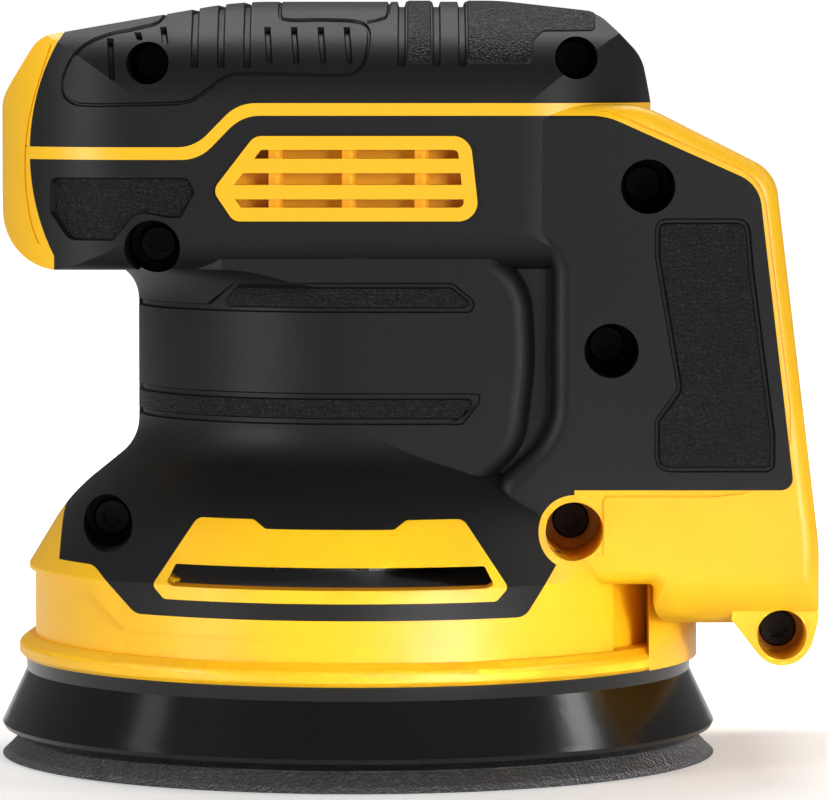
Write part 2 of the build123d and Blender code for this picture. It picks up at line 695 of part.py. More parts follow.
def screw_places():
    """Every case screw's axis, the radius of its well and the depth of its seat."""
    return [(*place, SCREW_SEAT) for place in CASE_SCREWS] + [
        (LUG_X, LUG_Z, LUG_WELL_R, LUG_SEAT)]


def wells():
    """Deep holes on the left side that the screw heads sit in."""
    return [rod_y(radius, x, z, -REACH, -seat) for x, z, radius, seat in screw_places()]


def shank_holes():
    """Holes for the shanks, closed at their right-hand end."""
    return [rod_y(SCREW_R + FIT / 4, x, z, -seat - AIR, -seat + SCREW_LENGTH + AIR)
            for x, z, _, seat in screw_places()]


def screw_posts():
    """Posts inside the halves that the screws pull together."""
    inside = envelope(SKIN)
    posts = []
    for x, z, _ in CASE_SCREWS:
        posts.append(rod_y(POST_R, x, z, -REACH, -SCREW_SEAT + POST_FLOOR) & inside)
        posts.append(rod_y(SCREW_R + PILOT_WALL, x, z, -SCREW_SEAT, REACH) & inside)
    return posts


# ------------------------------------------------------------ grilles and panels
def grille_outline(grow=0.0):
    """Side-view outline of the intake grille, with its slanted front end."""
    points = [(GRILLE_FRONT_X + GRILLE_SLANT, GRILLE_TOP),
              (GRILLE_REAR_X - GRILLE_LEAN, GRILLE_TOP), (GRILLE_REAR_X, GRILLE_BOTTOM),
              (GRILLE_FRONT_X + GRILLE_TOE, GRILLE_BOTTOM), (GRILLE_FRONT_X, GRILLE_FRONT_Z)]
    return shrink(rounded(points, GRILLE_RADII), -grow)


def grille_slots():
    """Rows of short air slots inside the grille's rim, between its bars."""
    slots = shrink(grille_outline(), GRILLE_RIM)
    posts = [Pos(x, GRILLE_TOP) * Rectangle(GRILLE_BAR, REACH) for x in GRILLE_POST_XS]
    bars = [Pos(0, z) * Rectangle(REACH, GRILLE_BAR) for z in GRILLE_BAR_ZS]
    return across(slots - posts - bars)


def exhaust_outline():
    """Side-view outline of the exhaust panel on the dome."""
    front = EXHAUST_FRONT_X + EXHAUST_SLANT
    rear = EXHAUST_REAR_X - EXHAUST_SLANT
    low = EXHAUST_TOP - EXHAUST_DIP
    points = [(front, EXHAUST_TOP), (front + EXHAUST_TAB, EXHAUST_TOP),
              (front + EXHAUST_TAB + 2 * EXHAUST_CORNER_R, low),
              (rear - EXHAUST_TAB - 2 * EXHAUST_CORNER_R, low),
              (rear - EXHAUST_TAB, EXHAUST_TOP), (rear, EXHAUST_TOP),
              (EXHAUST_REAR_X, EXHAUST_SLOT_BOTTOM),
              (EXHAUST_REAR_X - 2 * EXHAUST_CORNER_R, EXHAUST_BOTTOM),
              (EXHAUST_FRONT_X + 2 * EXHAUST_CORNER_R, EXHAUST_BOTTOM),
              (EXHAUST_FRONT_X, EXHAUST_SLOT_BOTTOM)]
    ends = [2 * EXHAUST_CORNER_R] + [EXHAUST_CORNER_R] * 4
    return rounded(points, ends + [2 * EXHAUST_CORNER_R] + [EXHAUST_CORNER_R] * 4)


def exhaust_slot():
    """Long slot that lets the motor's cooling air out."""
    front = EXHAUST_FRONT_X + EXHAUST_RIM
    rear = EXHAUST_REAR_X - EXHAUST_RIM
    knee = EXHAUST_SLOT_BOTTOM + SLOT_TOE
    points = [(front, knee), (front + SLOT_LEAN, EXHAUST_SLOT_TOP),
              (rear - SLOT_LEAN, EXHAUST_SLOT_TOP), (rear, knee),
              (rear - 2 * SLOT_TOE, EXHAUST_SLOT_BOTTOM),
              (front + 2 * SLOT_TOE, EXHAUST_SLOT_BOTTOM)]
    return across(rounded(points, EDGE_R))


def sides_only(shape, inner_y):
    """The shape without what lies nearer the middle than the given distance."""
    return shape - block(-REACH, REACH, -inner_y, inner_y, -REACH, REACH)


# ----------------------------------------------------------------- nose controls
def nose_window():
    """Opening for the switch paddle in the upper bezel."""
    return block(-REACH, NOSE_X + SWITCH_L, -PADDLE_W / 2, PADDLE_W / 2,
                 PADDLE_BOTTOM, PADDLE_TOP)


def dial_window():
    """Opening for the dial in the lower bezel."""
    half = DIAL_T / 2 + AIR
    wide = DIAL_R + AIR
    return block(-REACH, NOSE_X + INNER + 2.0, -wide, wide, DIAL_Z - half, DIAL_Z + half)


def switch_paddle():
    """Rubber-faced rocker that follows the nose's own curve."""
    skin = head(PADDLE_IN) - head(PADDLE_DEPTH)
    face = skin & block(-REACH, NOSE_X + SWITCH_L, -PADDLE_W / 2 + PADDLE_GAP,
                        PADDLE_W / 2 - PADDLE_GAP, PADDLE_BOTTOM + PADDLE_GAP,
                        PADDLE_TOP - PADDLE_GAP)
    return face + pivot(PIVOT_R, PIVOT_L)


def pivot(radius, beyond):
    """The paddle's pin, which ends a little beyond both sides of the paddle."""
    half = PADDLE_W / 2 + beyond
    return rod_y(radius, PIVOT_X, PIVOT_Z, -half, half)


def speed_dial():
    """Ribbed thumbwheel on an upright spindle."""
    half = DIAL_T / 2
    wheel = disc(DIAL_R - DIAL_RIDGE, DIAL_Z - half, DIAL_Z + half)
    ridge = disc(DIAL_RIDGE, DIAL_Z - half, DIAL_Z + half, DIAL_R - DIAL_RIDGE)
    wheel = wheel + around(ridge, DIAL_RIDGES)
    spindle = disc(DIAL_SPINDLE_R, DIAL_Z + half, POT_Z + POT_H / 2)
    return Pos(DIAL_X, 0, 0) * (wheel + spindle)


def potentiometer():
    """Speed sensor that the dial's spindle turns in."""
    half = POT_SIZE / 2
    body = block(DIAL_X - half, DIAL_X + half, -half, half, POT_Z, POT_Z + POT_H)
    return body - disc(DIAL_SPINDLE_R + RUN, POT_Z - AIR, POT_Z + POT_H / 2 + AIR, DIAL_X)


def switch_body():
    """Sealed rocker switch behind the paddle."""
    x = NOSE_X + SWITCH_FRONT
    z = (PADDLE_BOTTOM + PADDLE_TOP) / 2
    return block(x, x + SWITCH_L, -SWITCH_W / 2, SWITCH_W / 2, z - SWITCH_H / 2, z + SWITCH_H / 2)


# --------------------------------------------------------- dust skirt, seal, duct
def dust_skirt():
    """Flared rubber skirt under the base ring, with an upstand inside the ring."""
    upstand = BORE_R - FIT
    collar = RIM_R - SKIRT_COLLAR_IN
    flare_z = BASE_Z - SKIRT_FLARE_DROP
    lip = SKIRT_LIP_R - SKIRT_LIP_EDGE
    return turned(
        (collar, BASE_Z), (collar - FIT, BASE_Z - SKIRT_WAIST_DROP),
        (collar + SKIRT_FLARE_OUT, flare_z), (lip, SKIRT_LIP_Z + 2 * SKIRT_LIP_EDGE),
        (SKIRT_LIP_R, SKIRT_LIP_Z), (lip, SKIRT_LIP_Z - 2 * SKIRT_LIP_EDGE),
        (PAD_WAIST_R, SKIRT_BOTTOM), (PAD_WAIST_R - SKIRT_T, SKIRT_BOTTOM),
        (SKIRT_LIP_R - 2.0 * SKIRT_T, SKIRT_LIP_Z),
        (collar - SKIRT_T, flare_z), (collar - SKIRT_T, BASE_Z - SKIRT_T),
        (upstand - UPSTAND_T, BASE_Z - SKIRT_T), (upstand - UPSTAND_T, UPSTAND_TOP),
        (upstand, UPSTAND_TOP), (upstand, BASE_Z))


def brake_seal():
    """Rubber ring over the pad that keeps it from free spinning."""
    outer = BORE_R - UPSTAND_T - 2.0 * FIT
    foot = PAD_TOP + 0.5 * AIR
    return turned((outer - BRAKE_T, foot), (outer - 0.5 * BRAKE_T, foot), (outer, foot + BRAKE_T),
                  (outer, UPSTAND_TOP), (outer - BRAKE_T, UPSTAND_TOP))


def duct_form(grow):
    """Passage from the fan chamber's window up to the round outlet."""
    height = WINDOW_TOP - WINDOW_BOTTOM + 2 * grow - 2 * OUTLET_WALL
    width = WINDOW_W + 2 * grow - 2 * OUTLET_WALL
    window = Plane.YZ.offset(WINDOW_X) * Pos(0, (WINDOW_TOP + WINDOW_BOTTOM) / 2) * \
        RectangleRounded(width, height, 2.0 + grow)
    mouth = Plane.YZ.offset(OUTLET_X) * Pos(0, OUTLET_Z) * Circle(OUTLET_R + grow)
    return loft([window.face(), mouth.face()])


def dust_duct():
    """Moulded elbow between the fan chamber and the outlet."""
    tube = duct_form(OUTLET_WALL) - duct_form(0)
    return tube - disc(BORE_R - FIT, 0, TOP_Z)


def dust_outlet():
    """Outlet spout that a dust bag or hose plugs into."""
    end = HEEL_X - 0.8
    return (rod_x(OUTLET_R + OUTLET_WALL, 0, OUTLET_Z, OUTLET_X, end)
            - rod_x(OUTLET_R, 0, OUTLET_Z, OUTLET_X - 1.0, end + 1.0)) - bay_space(BAY_WALL)


# -------------------------------------------------------------- housing and skins
def chamber_space():
    """Round hollow of the base ring, open downwards, for the dust fan."""
    return disc(BORE_R, 0, MOTOR_PLATE_TOP)


def plate_screw_places():
    """Four screws that hold the motor plate up against the housing."""
    radius = BORE_R - PLATE_SCREW_IN
    return [Rot(0, 0, 45 + 90 * i) * Pos(radius, 0, 0) for i in range(4)]


def plate_screw_holes():
    """Pilot holes up into the bosses."""
    hole = disc(PLATE_SCREW_R, MOTOR_PLATE_Z, MOTOR_PLATE_TOP + PLATE_SCREW_BOSS_H - PILOT_END)
    return [place * hole for place in plate_screw_places()]


def plate_bosses():
    """Bosses over the motor plate's rim that its screws bite into."""
    boss = disc(PLATE_SCREW_BOSS_R, MOTOR_PLATE_TOP, MOTOR_PLATE_TOP + PLATE_SCREW_BOSS_H)
    bridge = block(0, INNER + 2.0, -PLATE_SCREW_BOSS_R, PLATE_SCREW_BOSS_R, MOTOR_PLATE_TOP,
                   MOTOR_PLATE_TOP + PLATE_SCREW_BOSS_H)
    inside = trunk(SKIN)
    return [(place * (boss + bridge)) & inside for place in plate_screw_places()]


def stator_ribs():
    """Upright ribs in the neck that centre the stator."""
    rib = block(STATOR_R + FIT / 2, NECK_R - SKIN - EDGE_R, -RIB_T / 2, RIB_T / 2, STACK_Z,
                STACK_TOP)
    return around(rib, RIBS, 180.0 / RIBS)


def head_webs(cavity):
    """Cross webs in the head, cut to carry the switch, the speed sensor and the tub."""
    webs = [block(x, x + WEB_T, -REACH, REACH, HEAD_BOTTOM, TOP_Z) & cavity for x in WEB_XS]
    tub = block(TUB_FRONT_X - FIT, TUB_FRONT_X + TUB_L + FIT, -TUB_W / 2 - FIT, TUB_W / 2 + FIT,
                TUB_Z - FIT, TUB_Z + TUB_H + 2.0)
    clear = TUB_W / 2 - TUB_WALL
    over_tub = block(TUB_FRONT_X, TUB_FRONT_X + TUB_L, -clear, clear, TUB_Z, TOP_Z - 14.0)
    under_tub = block(TUB_FRONT_X, TUB_FRONT_X + TUB_L, -TUB_W / 3, TUB_W / 3, 0, TUB_Z)
    middle = (PADDLE_BOTTOM + PADDLE_TOP) / 2
    pocket = block(NOSE_X, NOSE_X + REACH / 4, -SWITCH_W / 2 - FIT, SWITCH_W / 2 + FIT,
                   middle - SWITCH_H / 2 - FIT, middle + SWITCH_H / 2 + FIT)
    half = POT_SIZE / 2 + FIT
    sensor = block(DIAL_X - half, DIAL_X + half, -half, half, POT_Z - FIT, POT_Z + POT_H + FIT)
    turning = disc(DIAL_R + AIR, DIAL_Z - DIAL_T / 2 - AIR, POT_Z, DIAL_X)
    motor = disc(NECK_R - INNER, 0, SHAFT_TOP + SHAFT_CLEAR)
    spaces = [tub, over_tub, under_tub, pocket, sensor, turning, motor, grille_slots()]
    return [web - spaces for web in webs]


def head_layer():
    """The head's outer layer, over the nylon shell."""
    return head() - head(SKIN)


def nose_layer():
    """Yellow bezel that wraps the nose."""
    return head_layer() & nose_region()


def grip_layer():
    """Rubber cap over the palm."""
    return (head_layer() & grip_region()) - nose_region()


def overmold_layer():
    """Rubber skin of the neck, the head's sides and the rear block."""
    layer = (envelope() + flare()) - envelope(SKIN)
    return (layer & overmold_region()) - nose_region()


def housing():
    """Both nylon halves as one, before they are cut apart at the middle."""
    cavity = head(INNER) + trunk(INNER) + rear_block(INNER) + chamber_space()
    outer = head() + (trunk() - base_wall()) + base_heel() + drum() + rear_block() + flare()
    shell = (outer + lug()) - [nose_layer(), grip_layer(), overmold_layer(), cavity]
    bay = bay_space(BAY_WALL) & rear_block(SKIN)
    inside = [bay] + screw_posts() + plate_bosses() + stator_ribs() + head_webs(cavity)
    cuts = [bay_space(), duct_form(OUTLET_WALL + FIT / 2), nose_window(), dial_window(),
            pivot(PIVOT_R + FIT / 2, PIVOT_L + FIT),
            rod_x(OUTLET_R + OUTLET_WALL + FIT / 2, 0, OUTLET_Z, OUTLET_X, REACH),
            sides_only(grille_slots(), BLOCK_W / 4), sides_only(exhaust_slot(), BLOCK_W / 4)]
    cuts = cuts + wells() + shank_holes() + plate_screw_holes() + lead_holes()
    return shell + inside - cuts + bay_rails()


def biggest(shape):
    """The largest solid of a shape, without slivers that a cut left behind."""
    return sorted(shape.solids(), key=lambda solid: solid.volume)[-1]


def grille():
    """Both intake grilles as one shape, standing proud of the skin."""
    plate = (head(-PROUD) - head(SKIN)) & across(grille_outline())
    return sides_only(plate, BLOCK_W / 4) - grille_slots()


def exhaust_panel():
    """Both exhaust panels as one shape, following the dome."""
    plate = (trunk(-PROUD) - trunk(SKIN)) & across(exhaust_outline())
    return sides_only(plate, BLOCK_W / 4) - exhaust_slot()


# -------------------------------------------------------------------------- motor
def motor_plate():
    """Aluminium plate with the lower bearing's cup, between motor and dust fan."""
    cup_r = LOWER_BEARING_R + CUP_WALL
    plate = disc(BORE_R - FIT, MOTOR_PLATE_Z, MOTOR_PLATE_TOP)
    cup = disc(cup_r, MOTOR_PLATE_Z, LOWER_BEARING_TOP)
    body = plate + cup - disc(LOWER_BEARING_R, LOWER_BEARING_Z, REACH)
    body = body - disc(SHAFT_R + SHAFT_CLEAR, 0, REACH)
    holes = [place * disc(PLATE_SCREW_R + FIT / 2, 0, REACH) for place in plate_screw_places()]
    posts = [rod_y(POST_R + FIT, x, z, -REACH, REACH) for x, z, _ in CASE_SCREWS]
    return body - holes - posts


def bearing(radius, bore, width, bottom, x=0.0, y=0.0):
    """Shielded ball bearing with a groove between its races on both faces."""
    body = ring(radius, bore, bottom, bottom + width, x, y)
    race = RACE_SHARE * (radius - bore)
    low = ring(radius - race, bore + race, bottom, bottom + SHIELD_IN, x, y)
    return body - low - Pos(0, 0, width - SHIELD_IN) * low


def plate_screws():
    """Screws from below, one in each corner boss of the motor plate."""
    top = MOTOR_PLATE_TOP + PLATE_SCREW_BOSS_H - 2 * PILOT_END
    shank = disc(PLATE_SCREW_R - FIT / 4, MOTOR_PLATE_Z, top)
    pan = disc(PLATE_SCREW_HEAD_R, MOTOR_PLATE_Z - PLATE_SCREW_HEAD_H, MOTOR_PLATE_Z)
    return [place * (shank + pan) for place in plate_screw_places()]


def stator_core():
    """Laminated stator with teeth that point at the rotor."""
    inner = ROTOR_R + ROTOR_GAP
    yoke = Circle(STATOR_R) - Circle(STATOR_R - STATOR_YOKE)
    tooth = Pos(inner, 0) * Rectangle(
        STATOR_R - STATOR_YOKE / 2 - inner, TOOTH_W, align=(Align.MIN, Align.CENTER))
    shoe = Pos(inner, 0) * Rectangle(SHOE_T, TOOTH_W * 2, align=(Align.MIN, Align.CENTER))
    teeth = Sketch() + around(tooth + shoe, TEETH)
    section = yoke + teeth - Circle(inner)
    return Pos(0, 0, STACK_Z) * extrude(section, amount=STACK_H)


def stator_coils():
    """One copper coil around each tooth."""
    near = ROTOR_R + ROTOR_GAP + SHOE_T + FIT
    half = TOOTH_W / 2 + COIL_T
    far = sqrt((STATOR_R - STATOR_YOKE) ** 2 - half ** 2) - FIT
    loop = block(near, far, -half, half, COIL_BOTTOM, COIL_TOP)
    loop = fillet(loop.edges().filter_by(Axis.X), COIL_T * 0.8)
    core = block(0, REACH, -TOOTH_W / 2 - FIT, TOOTH_W / 2 + FIT, STACK_Z - FIT, STACK_TOP + FIT)
    return around(loop - core, TEETH)


def sensor_board():
    """Ring-shaped board over the coils that senses the rotor's angle."""
    board = ring(STATOR_R, ROTOR_R + 1.5, SENSOR_Z, SENSOR_TOP)
    feet = around(disc(SENSOR_FOOT_R, STACK_TOP, SENSOR_Z, STATOR_R - STATOR_YOKE / 2), 4, 30.0)
    return board + feet


def upper_bracket():
    """End bracket in the neck that carries the upper bearing."""
    cup_r = UPPER_BEARING_R + CUP_WALL
    body = disc(NECK_R - INNER - FIT, BRACKET_Z, BRACKET_Z + BRACKET_T)
    body = body + disc(cup_r, BRACKET_Z, UPPER_BEARING_TOP)
    body = body - disc(UPPER_BEARING_R, UPPER_BEARING_Z, REACH)
    vents = around(disc(VENT_R, 0, REACH, VENT_PCR), VENTS)
    return body - disc(SHAFT_R + SHAFT_CLEAR, 0, REACH) - vents


def motor_shaft():
    """Stepped steel shaft through the whole motor."""
    low = disc(SHAFT_R, SHAFT_BOTTOM, UPPER_BEARING_Z - FIT)
    high = disc(SHAFT_TOP_R, UPPER_BEARING_Z - FIT, SHAFT_TOP)
    body = low + high
    return chamfer(body.edges().filter_by(GeomType.CIRCLE).group_by(Axis.Z)[-1], EDGE_R)


def rotor_core():
    """Laminated rotor pressed on the shaft."""
    return ring(ROTOR_R - MAGNET_T, SHAFT_R, STACK_Z, STACK_TOP)


def rotor_magnets():
    """Curved magnets around the rotor core."""
    gap = block(0, REACH, -MAGNET_GAP / 2, MAGNET_GAP / 2, 0, REACH)
    sleeve = ring(ROTOR_R, ROTOR_R - MAGNET_T, STACK_Z + EDGE_R, STACK_TOP - EDGE_R)
    return sleeve - around(gap, POLES)


def vanes(count, inner, outer, thickness, bottom, top, sweep):
    """Straight fan vanes, each turned away from the radius by a sweep angle."""
    vane = block(0, outer, -thickness / 2, thickness / 2, bottom, top)
    vane = Pos(inner, 0, 0) * Rot(0, 0, sweep) * vane
    band = ring(outer, inner, bottom, top)
    return [blade_body & band for blade_body in around(vane, count)]


def cooling_fan():
    """Fan above the lower bearing that blows the motor's air out of the dome."""
    cup_r = LOWER_BEARING_R + CUP_WALL + 2.0 * AIR
    plate = disc(COOLING_FAN_R, COOLING_DISC_Z, COOLING_DISC_Z + COOLING_DISC_T)
    hub = disc(SHAFT_R + HUB_WALL, COOLING_DISC_Z - AIR, COIL_BOTTOM - AIR)
    low = MOTOR_PLATE_TOP + 2.0 * AIR
    blades = vanes(COOLING_VANES, cup_r, COOLING_FAN_R, COOLING_VANE_T, low, COOLING_DISC_Z,
                   COOLING_SWEEP)
    return plate + hub + blades - disc(SHAFT_R, 0, REACH)


def dust_fan():
    """Dust fan whose offset hub holds the pad bearing."""
    plate = disc(FAN_R, FAN_DISC_Z, FAN_DISC_TOP)
    hub = disc(FAN_HUB_R, HUB_BOTTOM, FAN_DISC_TOP, 0, ORBIT)
    boss = disc(SHAFT_R + HUB_WALL, FAN_DISC_Z, FAN_HUB_TOP)
    body = plate + hub + boss + vanes(FAN_VANES, FAN_HUB_R - FAN_VANE_T, FAN_R, FAN_VANE_T,
                                      HUB_BOTTOM + FAN_VANE_T, FAN_DISC_Z, FAN_SWEEP)
    pocket = disc(PAD_BEARING_R, 0, PAD_BEARING_TOP, 0, ORBIT)
    relief = disc(SPINDLE_R + HUB_WALL, HUB_BOTTOM, SHAFT_BOTTOM, 0, ORBIT)
    bore = disc(SHAFT_R, SHAFT_BOTTOM, REACH)
    return body - pocket - relief - bore


def counterweight():
    """Steel sector on the dust fan, opposite the pad's offset."""
    half = WEIGHT_ARC / 2
    sector = ring(WEIGHT_R_OUT, WEIGHT_R_IN, FAN_DISC_TOP, WEIGHT_TOP)
    wedge = make_face(Polyline((0, 0), (REACH * sin(radians(half)), -REACH * cos(radians(half))),
                               (-REACH * sin(radians(half)), -REACH * cos(radians(half))),
                               close=True))
    return sector & extrude(wedge, amount=REACH)


# ---------------------------------------------------------------------------- pad
def dust_holes(radius):
    """Cutters for the pad's ring of dust holes."""
    return [Pos(0, ORBIT, 0) * hole
            for hole in around(disc(radius, -1.0, PAD_TOP + 1.0, DUST_PCR), DUST_HOLES)]


def screw_spots(radius, bottom, top):
    """Cylinders on the pad screws' circle."""
    return [Pos(0, ORBIT, 0) * spot
            for spot in around(disc(radius, bottom, top, PAD_SCREW_PCR), PAD_SCREWS, 45.0)]


def hook_face():
    """Hook layer that grips the sanding disc."""
    body = turned((0, 0), (PAD_R, 0), (PAD_BEVEL_R, HOOK_T), (0, HOOK_T))
    body = Pos(0, ORBIT, 0) * body
    return body - dust_holes(DUST_HOLE_R) - screw_spots(PAD_ACCESS_R, -1.0, HOOK_T + 1.0)


def foam_pad():
    """Foam body with a flared rim under the skirt's lip."""
    body = turned(
        (0, HOOK_T), (PAD_BEVEL_R, HOOK_T), (PAD_WAIST_R, HOOK_T + PAD_EDGE_T),
        (PAD_CORE_R, HOOK_T + PAD_EDGE_T), (PAD_CORE_R, FOAM_TOP), (0, FOAM_TOP))
    return (Pos(0, ORBIT, 0) * body - dust_holes(DUST_HOLE_R)
            - screw_spots(PAD_ACCESS_R, 0, FOAM_TOP + 1.0))


def backing_plate():
    """Stiff plate that carries the foam, with a raised hub and ribs."""
    body = disc(PLATE_R, FOAM_TOP, FOAM_TOP + PLATE_WEB_T, 0, ORBIT)
    rim = ring(PLATE_R, PLATE_R - PLATE_RIM_W, FOAM_TOP, PAD_TOP, 0, ORBIT)
    hub = disc(SPINDLE_FLANGE_R + HUB_WALL, FOAM_TOP, PAD_TOP, 0, ORBIT)
    rib = block(0, PLATE_R - PLATE_RIM_W / 2, -PLATE_RIB_T / 2, PLATE_RIB_T / 2, FOAM_TOP,
                PAD_TOP)
    ribs = [Pos(0, ORBIT, 0) * arm for arm in around(rib, DUST_HOLES, 180.0 / DUST_HOLES)]
    screws = screw_spots(PAD_SCREW_R + FIT / 2, 0, REACH)
    return body + rim + hub + ribs - dust_holes(DUST_HOLE_R - EDGE_R) - screws


def pad_spindle():
    """Steel spindle: a flange for the pad's screws and a journal for the bearing."""
    flange = disc(SPINDLE_FLANGE_R, PAD_TOP, FLANGE_TOP, 0, ORBIT)
    collar = disc(SPINDLE_R + COLLAR_W, FLANGE_TOP, PAD_BEARING_Z, 0, ORBIT)
    journal = disc(SPINDLE_R - RUN, FLANGE_TOP, SPINDLE_TOP, 0, ORBIT)
    return flange + collar + journal - screw_spots(PAD_SCREW_R, 0, FLANGE_TOP - AIR)


def spindle_clip():
    """Retaining ring over the pad bearing's inner race."""
    body = ring(SPINDLE_R + CLIP_W, SPINDLE_R - RUN, PAD_BEARING_TOP + FIT / 2, SPINDLE_TOP, 0,
                ORBIT)
    slot = block(0, REACH, -CLIP_SLOT / 2, CLIP_SLOT / 2, 0, REACH)
    return body - Pos(0, ORBIT, 0) * slot


def pad_screws():
    """Screws from the pad's face into the spindle's flange."""
    shanks = screw_spots(PAD_SCREW_R - RUN, FOAM_TOP, FLANGE_TOP - AIR - FIT)
    pans = screw_spots(PAD_ACCESS_R - 3.0 * FIT, FOAM_TOP - PAD_SCREW_HEAD_H, FOAM_TOP)
    keys = screw_spots(PAD_KEY_R, 0, FOAM_TOP - PAD_SCREW_HEAD_H / 2)
    return [pan + shank - key for pan, shank, key in zip(pans, shanks, keys)]


# -------------------------------------------------------------------- electronics
def control_tub():
    """Open tub in the head that holds the control board."""
    x_end = TUB_FRONT_X + TUB_L
    body = block(TUB_FRONT_X, x_end, -TUB_W / 2, TUB_W / 2, TUB_Z, TUB_Z + TUB_H)
    hollow = block(TUB_FRONT_X + TUB_WALL, x_end - TUB_WALL, -TUB_W / 2 + TUB_WALL,
                   TUB_W / 2 - TUB_WALL, TUB_Z + TUB_WALL, REACH)
    return body - hollow


def control_board():
    """Drive circuit board on the tub's floor."""
    gap = TUB_WALL + FIT
    return block(TUB_FRONT_X + gap, TUB_FRONT_X + TUB_L - gap, -TUB_W / 2 + gap,
                 TUB_W / 2 - gap, TUB_Z + TUB_WALL, TUB_Z + TUB_WALL + BOARD_T)


def mosfets():
    """Power switches in two rows on the board."""
    length, width, height = MOSFET_SIZE
    chip = Box(length, width, height, align=(Align.CENTER, Align.CENTER, Align.MIN))
    floor = TUB_Z + TUB_WALL + BOARD_T
    x = TUB_FRONT_X + TUB_L - MOSFET_PITCH
    per_row = MOSFETS // 2
    return [Pos(x - MOSFET_PITCH * (i % per_row), MOSFET_ROW_Y * (2 * (i // per_row) - 1), floor)
            * chip for i in range(MOSFETS)]


def bulk_capacitor():
    """Electrolytic capacitor lying on the board."""
    y = TUB_W / 2 - TUB_WALL - CAP_R - CAP_SIDE
    z = TUB_Z + TUB_WALL + BOARD_T + CAP_R
    return Pos(TUB_FRONT_X + CAP_IN, 0, 0) * rod_x(CAP_R, y, z, 0, CAP_L)


def phase_wires():
    """Three insulated wires from the sensor board up through the bracket to the tub."""
    wire = disc(WIRE_R, SENSOR_TOP, TUB_Z, VENT_PCR)
    return [Rot(0, 0, angle) * wire for angle in (0.0, 45.0, 90.0)]


def lead_start_x():
    """Where the bay's front wall stands at the height of the battery leads."""
    along = (LEAD_Z - HEEL_Z) / cos(SLOPE)
    return HEEL_X - along * sin(SLOPE) - BAY_DEPTH / cos(SLOPE) - FIT / 2


def battery_leads():
    """Two insulated leads from the terminal block up to the control tub."""
    leads = []
    for side in (-LEAD_Y, LEAD_Y):
        path = FilletPolyline(
            (lead_start_x(), side, LEAD_Z), (LEAD_RISE_X, side, LEAD_Z),
            (LEAD_RISE_X, side, LEAD_TURN_Z), (LEAD_END_X, side, LEAD_TURN_Z),
            (LEAD_END_X, side, TUB_Z), radius=[WIRE_BEND_R, WIRE_BEND_R, LEAD_END_BEND_R])
        start = Plane(origin=path @ 0, z_dir=path % 0)
        leads.append(sweep(start * Circle(WIRE_R), path=path))
    return leads


def lead_holes():
    """Holes in the bay's front wall for the battery leads."""
    return [rod_x(WIRE_R + 2 * FIT, side, LEAD_Z, LEAD_RISE_X, lead_start_x() + 1.0)
            for side in (-LEAD_Y, LEAD_Y)]


# ----------------------------------------------------------------------- assembly
def build():
    """Every node's solids by name."""
    plates = grille()
    panels = exhaust_panel()
    outlet = rod_x(OUTLET_R + OUTLET_WALL + FIT / 2, 0, OUTLET_Z, OUTLET_X, REACH)
    nose = nose_layer() - [nose_window(), dial_window(), pivot(PIVOT_R + FIT / 2, PIVOT_L + FIT)]
    grip = grip_layer() - wells()
    side_panels = [sides_only(across(grille_outline()), BLOCK_W / 4),
                   sides_only(across(exhaust_outline()), BLOCK_W / 4)]
    overmold = overmold_layer() - wells() - side_panels - [dial_window(), bay_space(), outlet]
    case = housing()
    above_seam = block(-REACH, REACH, -REACH, REACH, NOSE_SEAM_Z, REACH)
    return {
        "housing_left": biggest(left_half(case)),
        "housing_right": biggest(right_half(case)),
        "overmold_left": biggest(left_half(overmold)),
        "overmold_right": biggest(right_half(overmold)),
        "top_grip": biggest(grip),
        "nose_bezel_upper": biggest(nose & above_seam),
        "nose_bezel_lower": biggest(nose - above_seam),
        "intake_grille_left": biggest(left_half(plates)),
        "intake_grille_right": biggest(right_half(plates)),
        "exhaust_panel_left": biggest(left_half(panels)),
        "exhaust_panel_right": biggest(right_half(panels)),
        "dust_skirt": dust_skirt(),
        "brake_seal": brake_seal(),
        "dust_duct": dust_duct(),
        "dust_outlet": dust_outlet(),
        "motor_plate": motor_plate(),
        "plate_screws": plate_screws(),
        "lower_bearing": bearing(LOWER_BEARING_R, SHAFT_R + RUN, LOWER_BEARING_W, LOWER_BEARING_Z),
        "upper_bearing": bearing(UPPER_BEARING_R, SHAFT_TOP_R + RUN, UPPER_BEARING_W,
                                 UPPER_BEARING_Z),
        "upper_bracket": upper_bracket(),
        "stator_core": stator_core(),
        "stator_coils": stator_coils(),
        "sensor_board": sensor_board(),
        "control_tub": control_tub(),
        "control_board": control_board(),
        "mosfets": mosfets(),
        "bulk_capacitor": bulk_capacitor(),
        "phase_wires": phase_wires(),
        "battery_leads": battery_leads(),
        "switch_body": switch_body(),
        "speed_sensor": potentiometer(),
        "terminal_block": terminal_block(),
        "contact_blades": [blade(i, BLADE_H) for i in range(BLADES)],
        "case_screws": [case_screw(x, z, seat) for x, z, _, seat in screw_places()],
        "motor_shaft": motor_shaft(),
        "rotor_core": rotor_core(),
        "rotor_magnets": rotor_magnets(),
        "cooling_fan": cooling_fan(),
        "dust_fan": dust_fan(),
        "counterweight": counterweight(),
        "pad_bearing": bearing(PAD_BEARING_R, SPINDLE_R, PAD_BEARING_W, PAD_BEARING_Z, 0, ORBIT),
        "pad_spindle": pad_spindle(),
        "spindle_clip": spindle_clip(),
        "backing_plate": backing_plate(),
        "foam_pad": foam_pad(),
        "hook_face": hook_face(),
        "pad_screws": pad_screws(),
        "switch_paddle": switch_paddle(),
        "speed_dial": speed_dial(),
    }


os.makedirs("parts", exist_ok=True)
for node, shape in build().items():
    solids = shape if isinstance(shape, list) else shape.solids()
    export_step(Compound([solid.solid() for solid in solids]), f"parts/{node}.step")
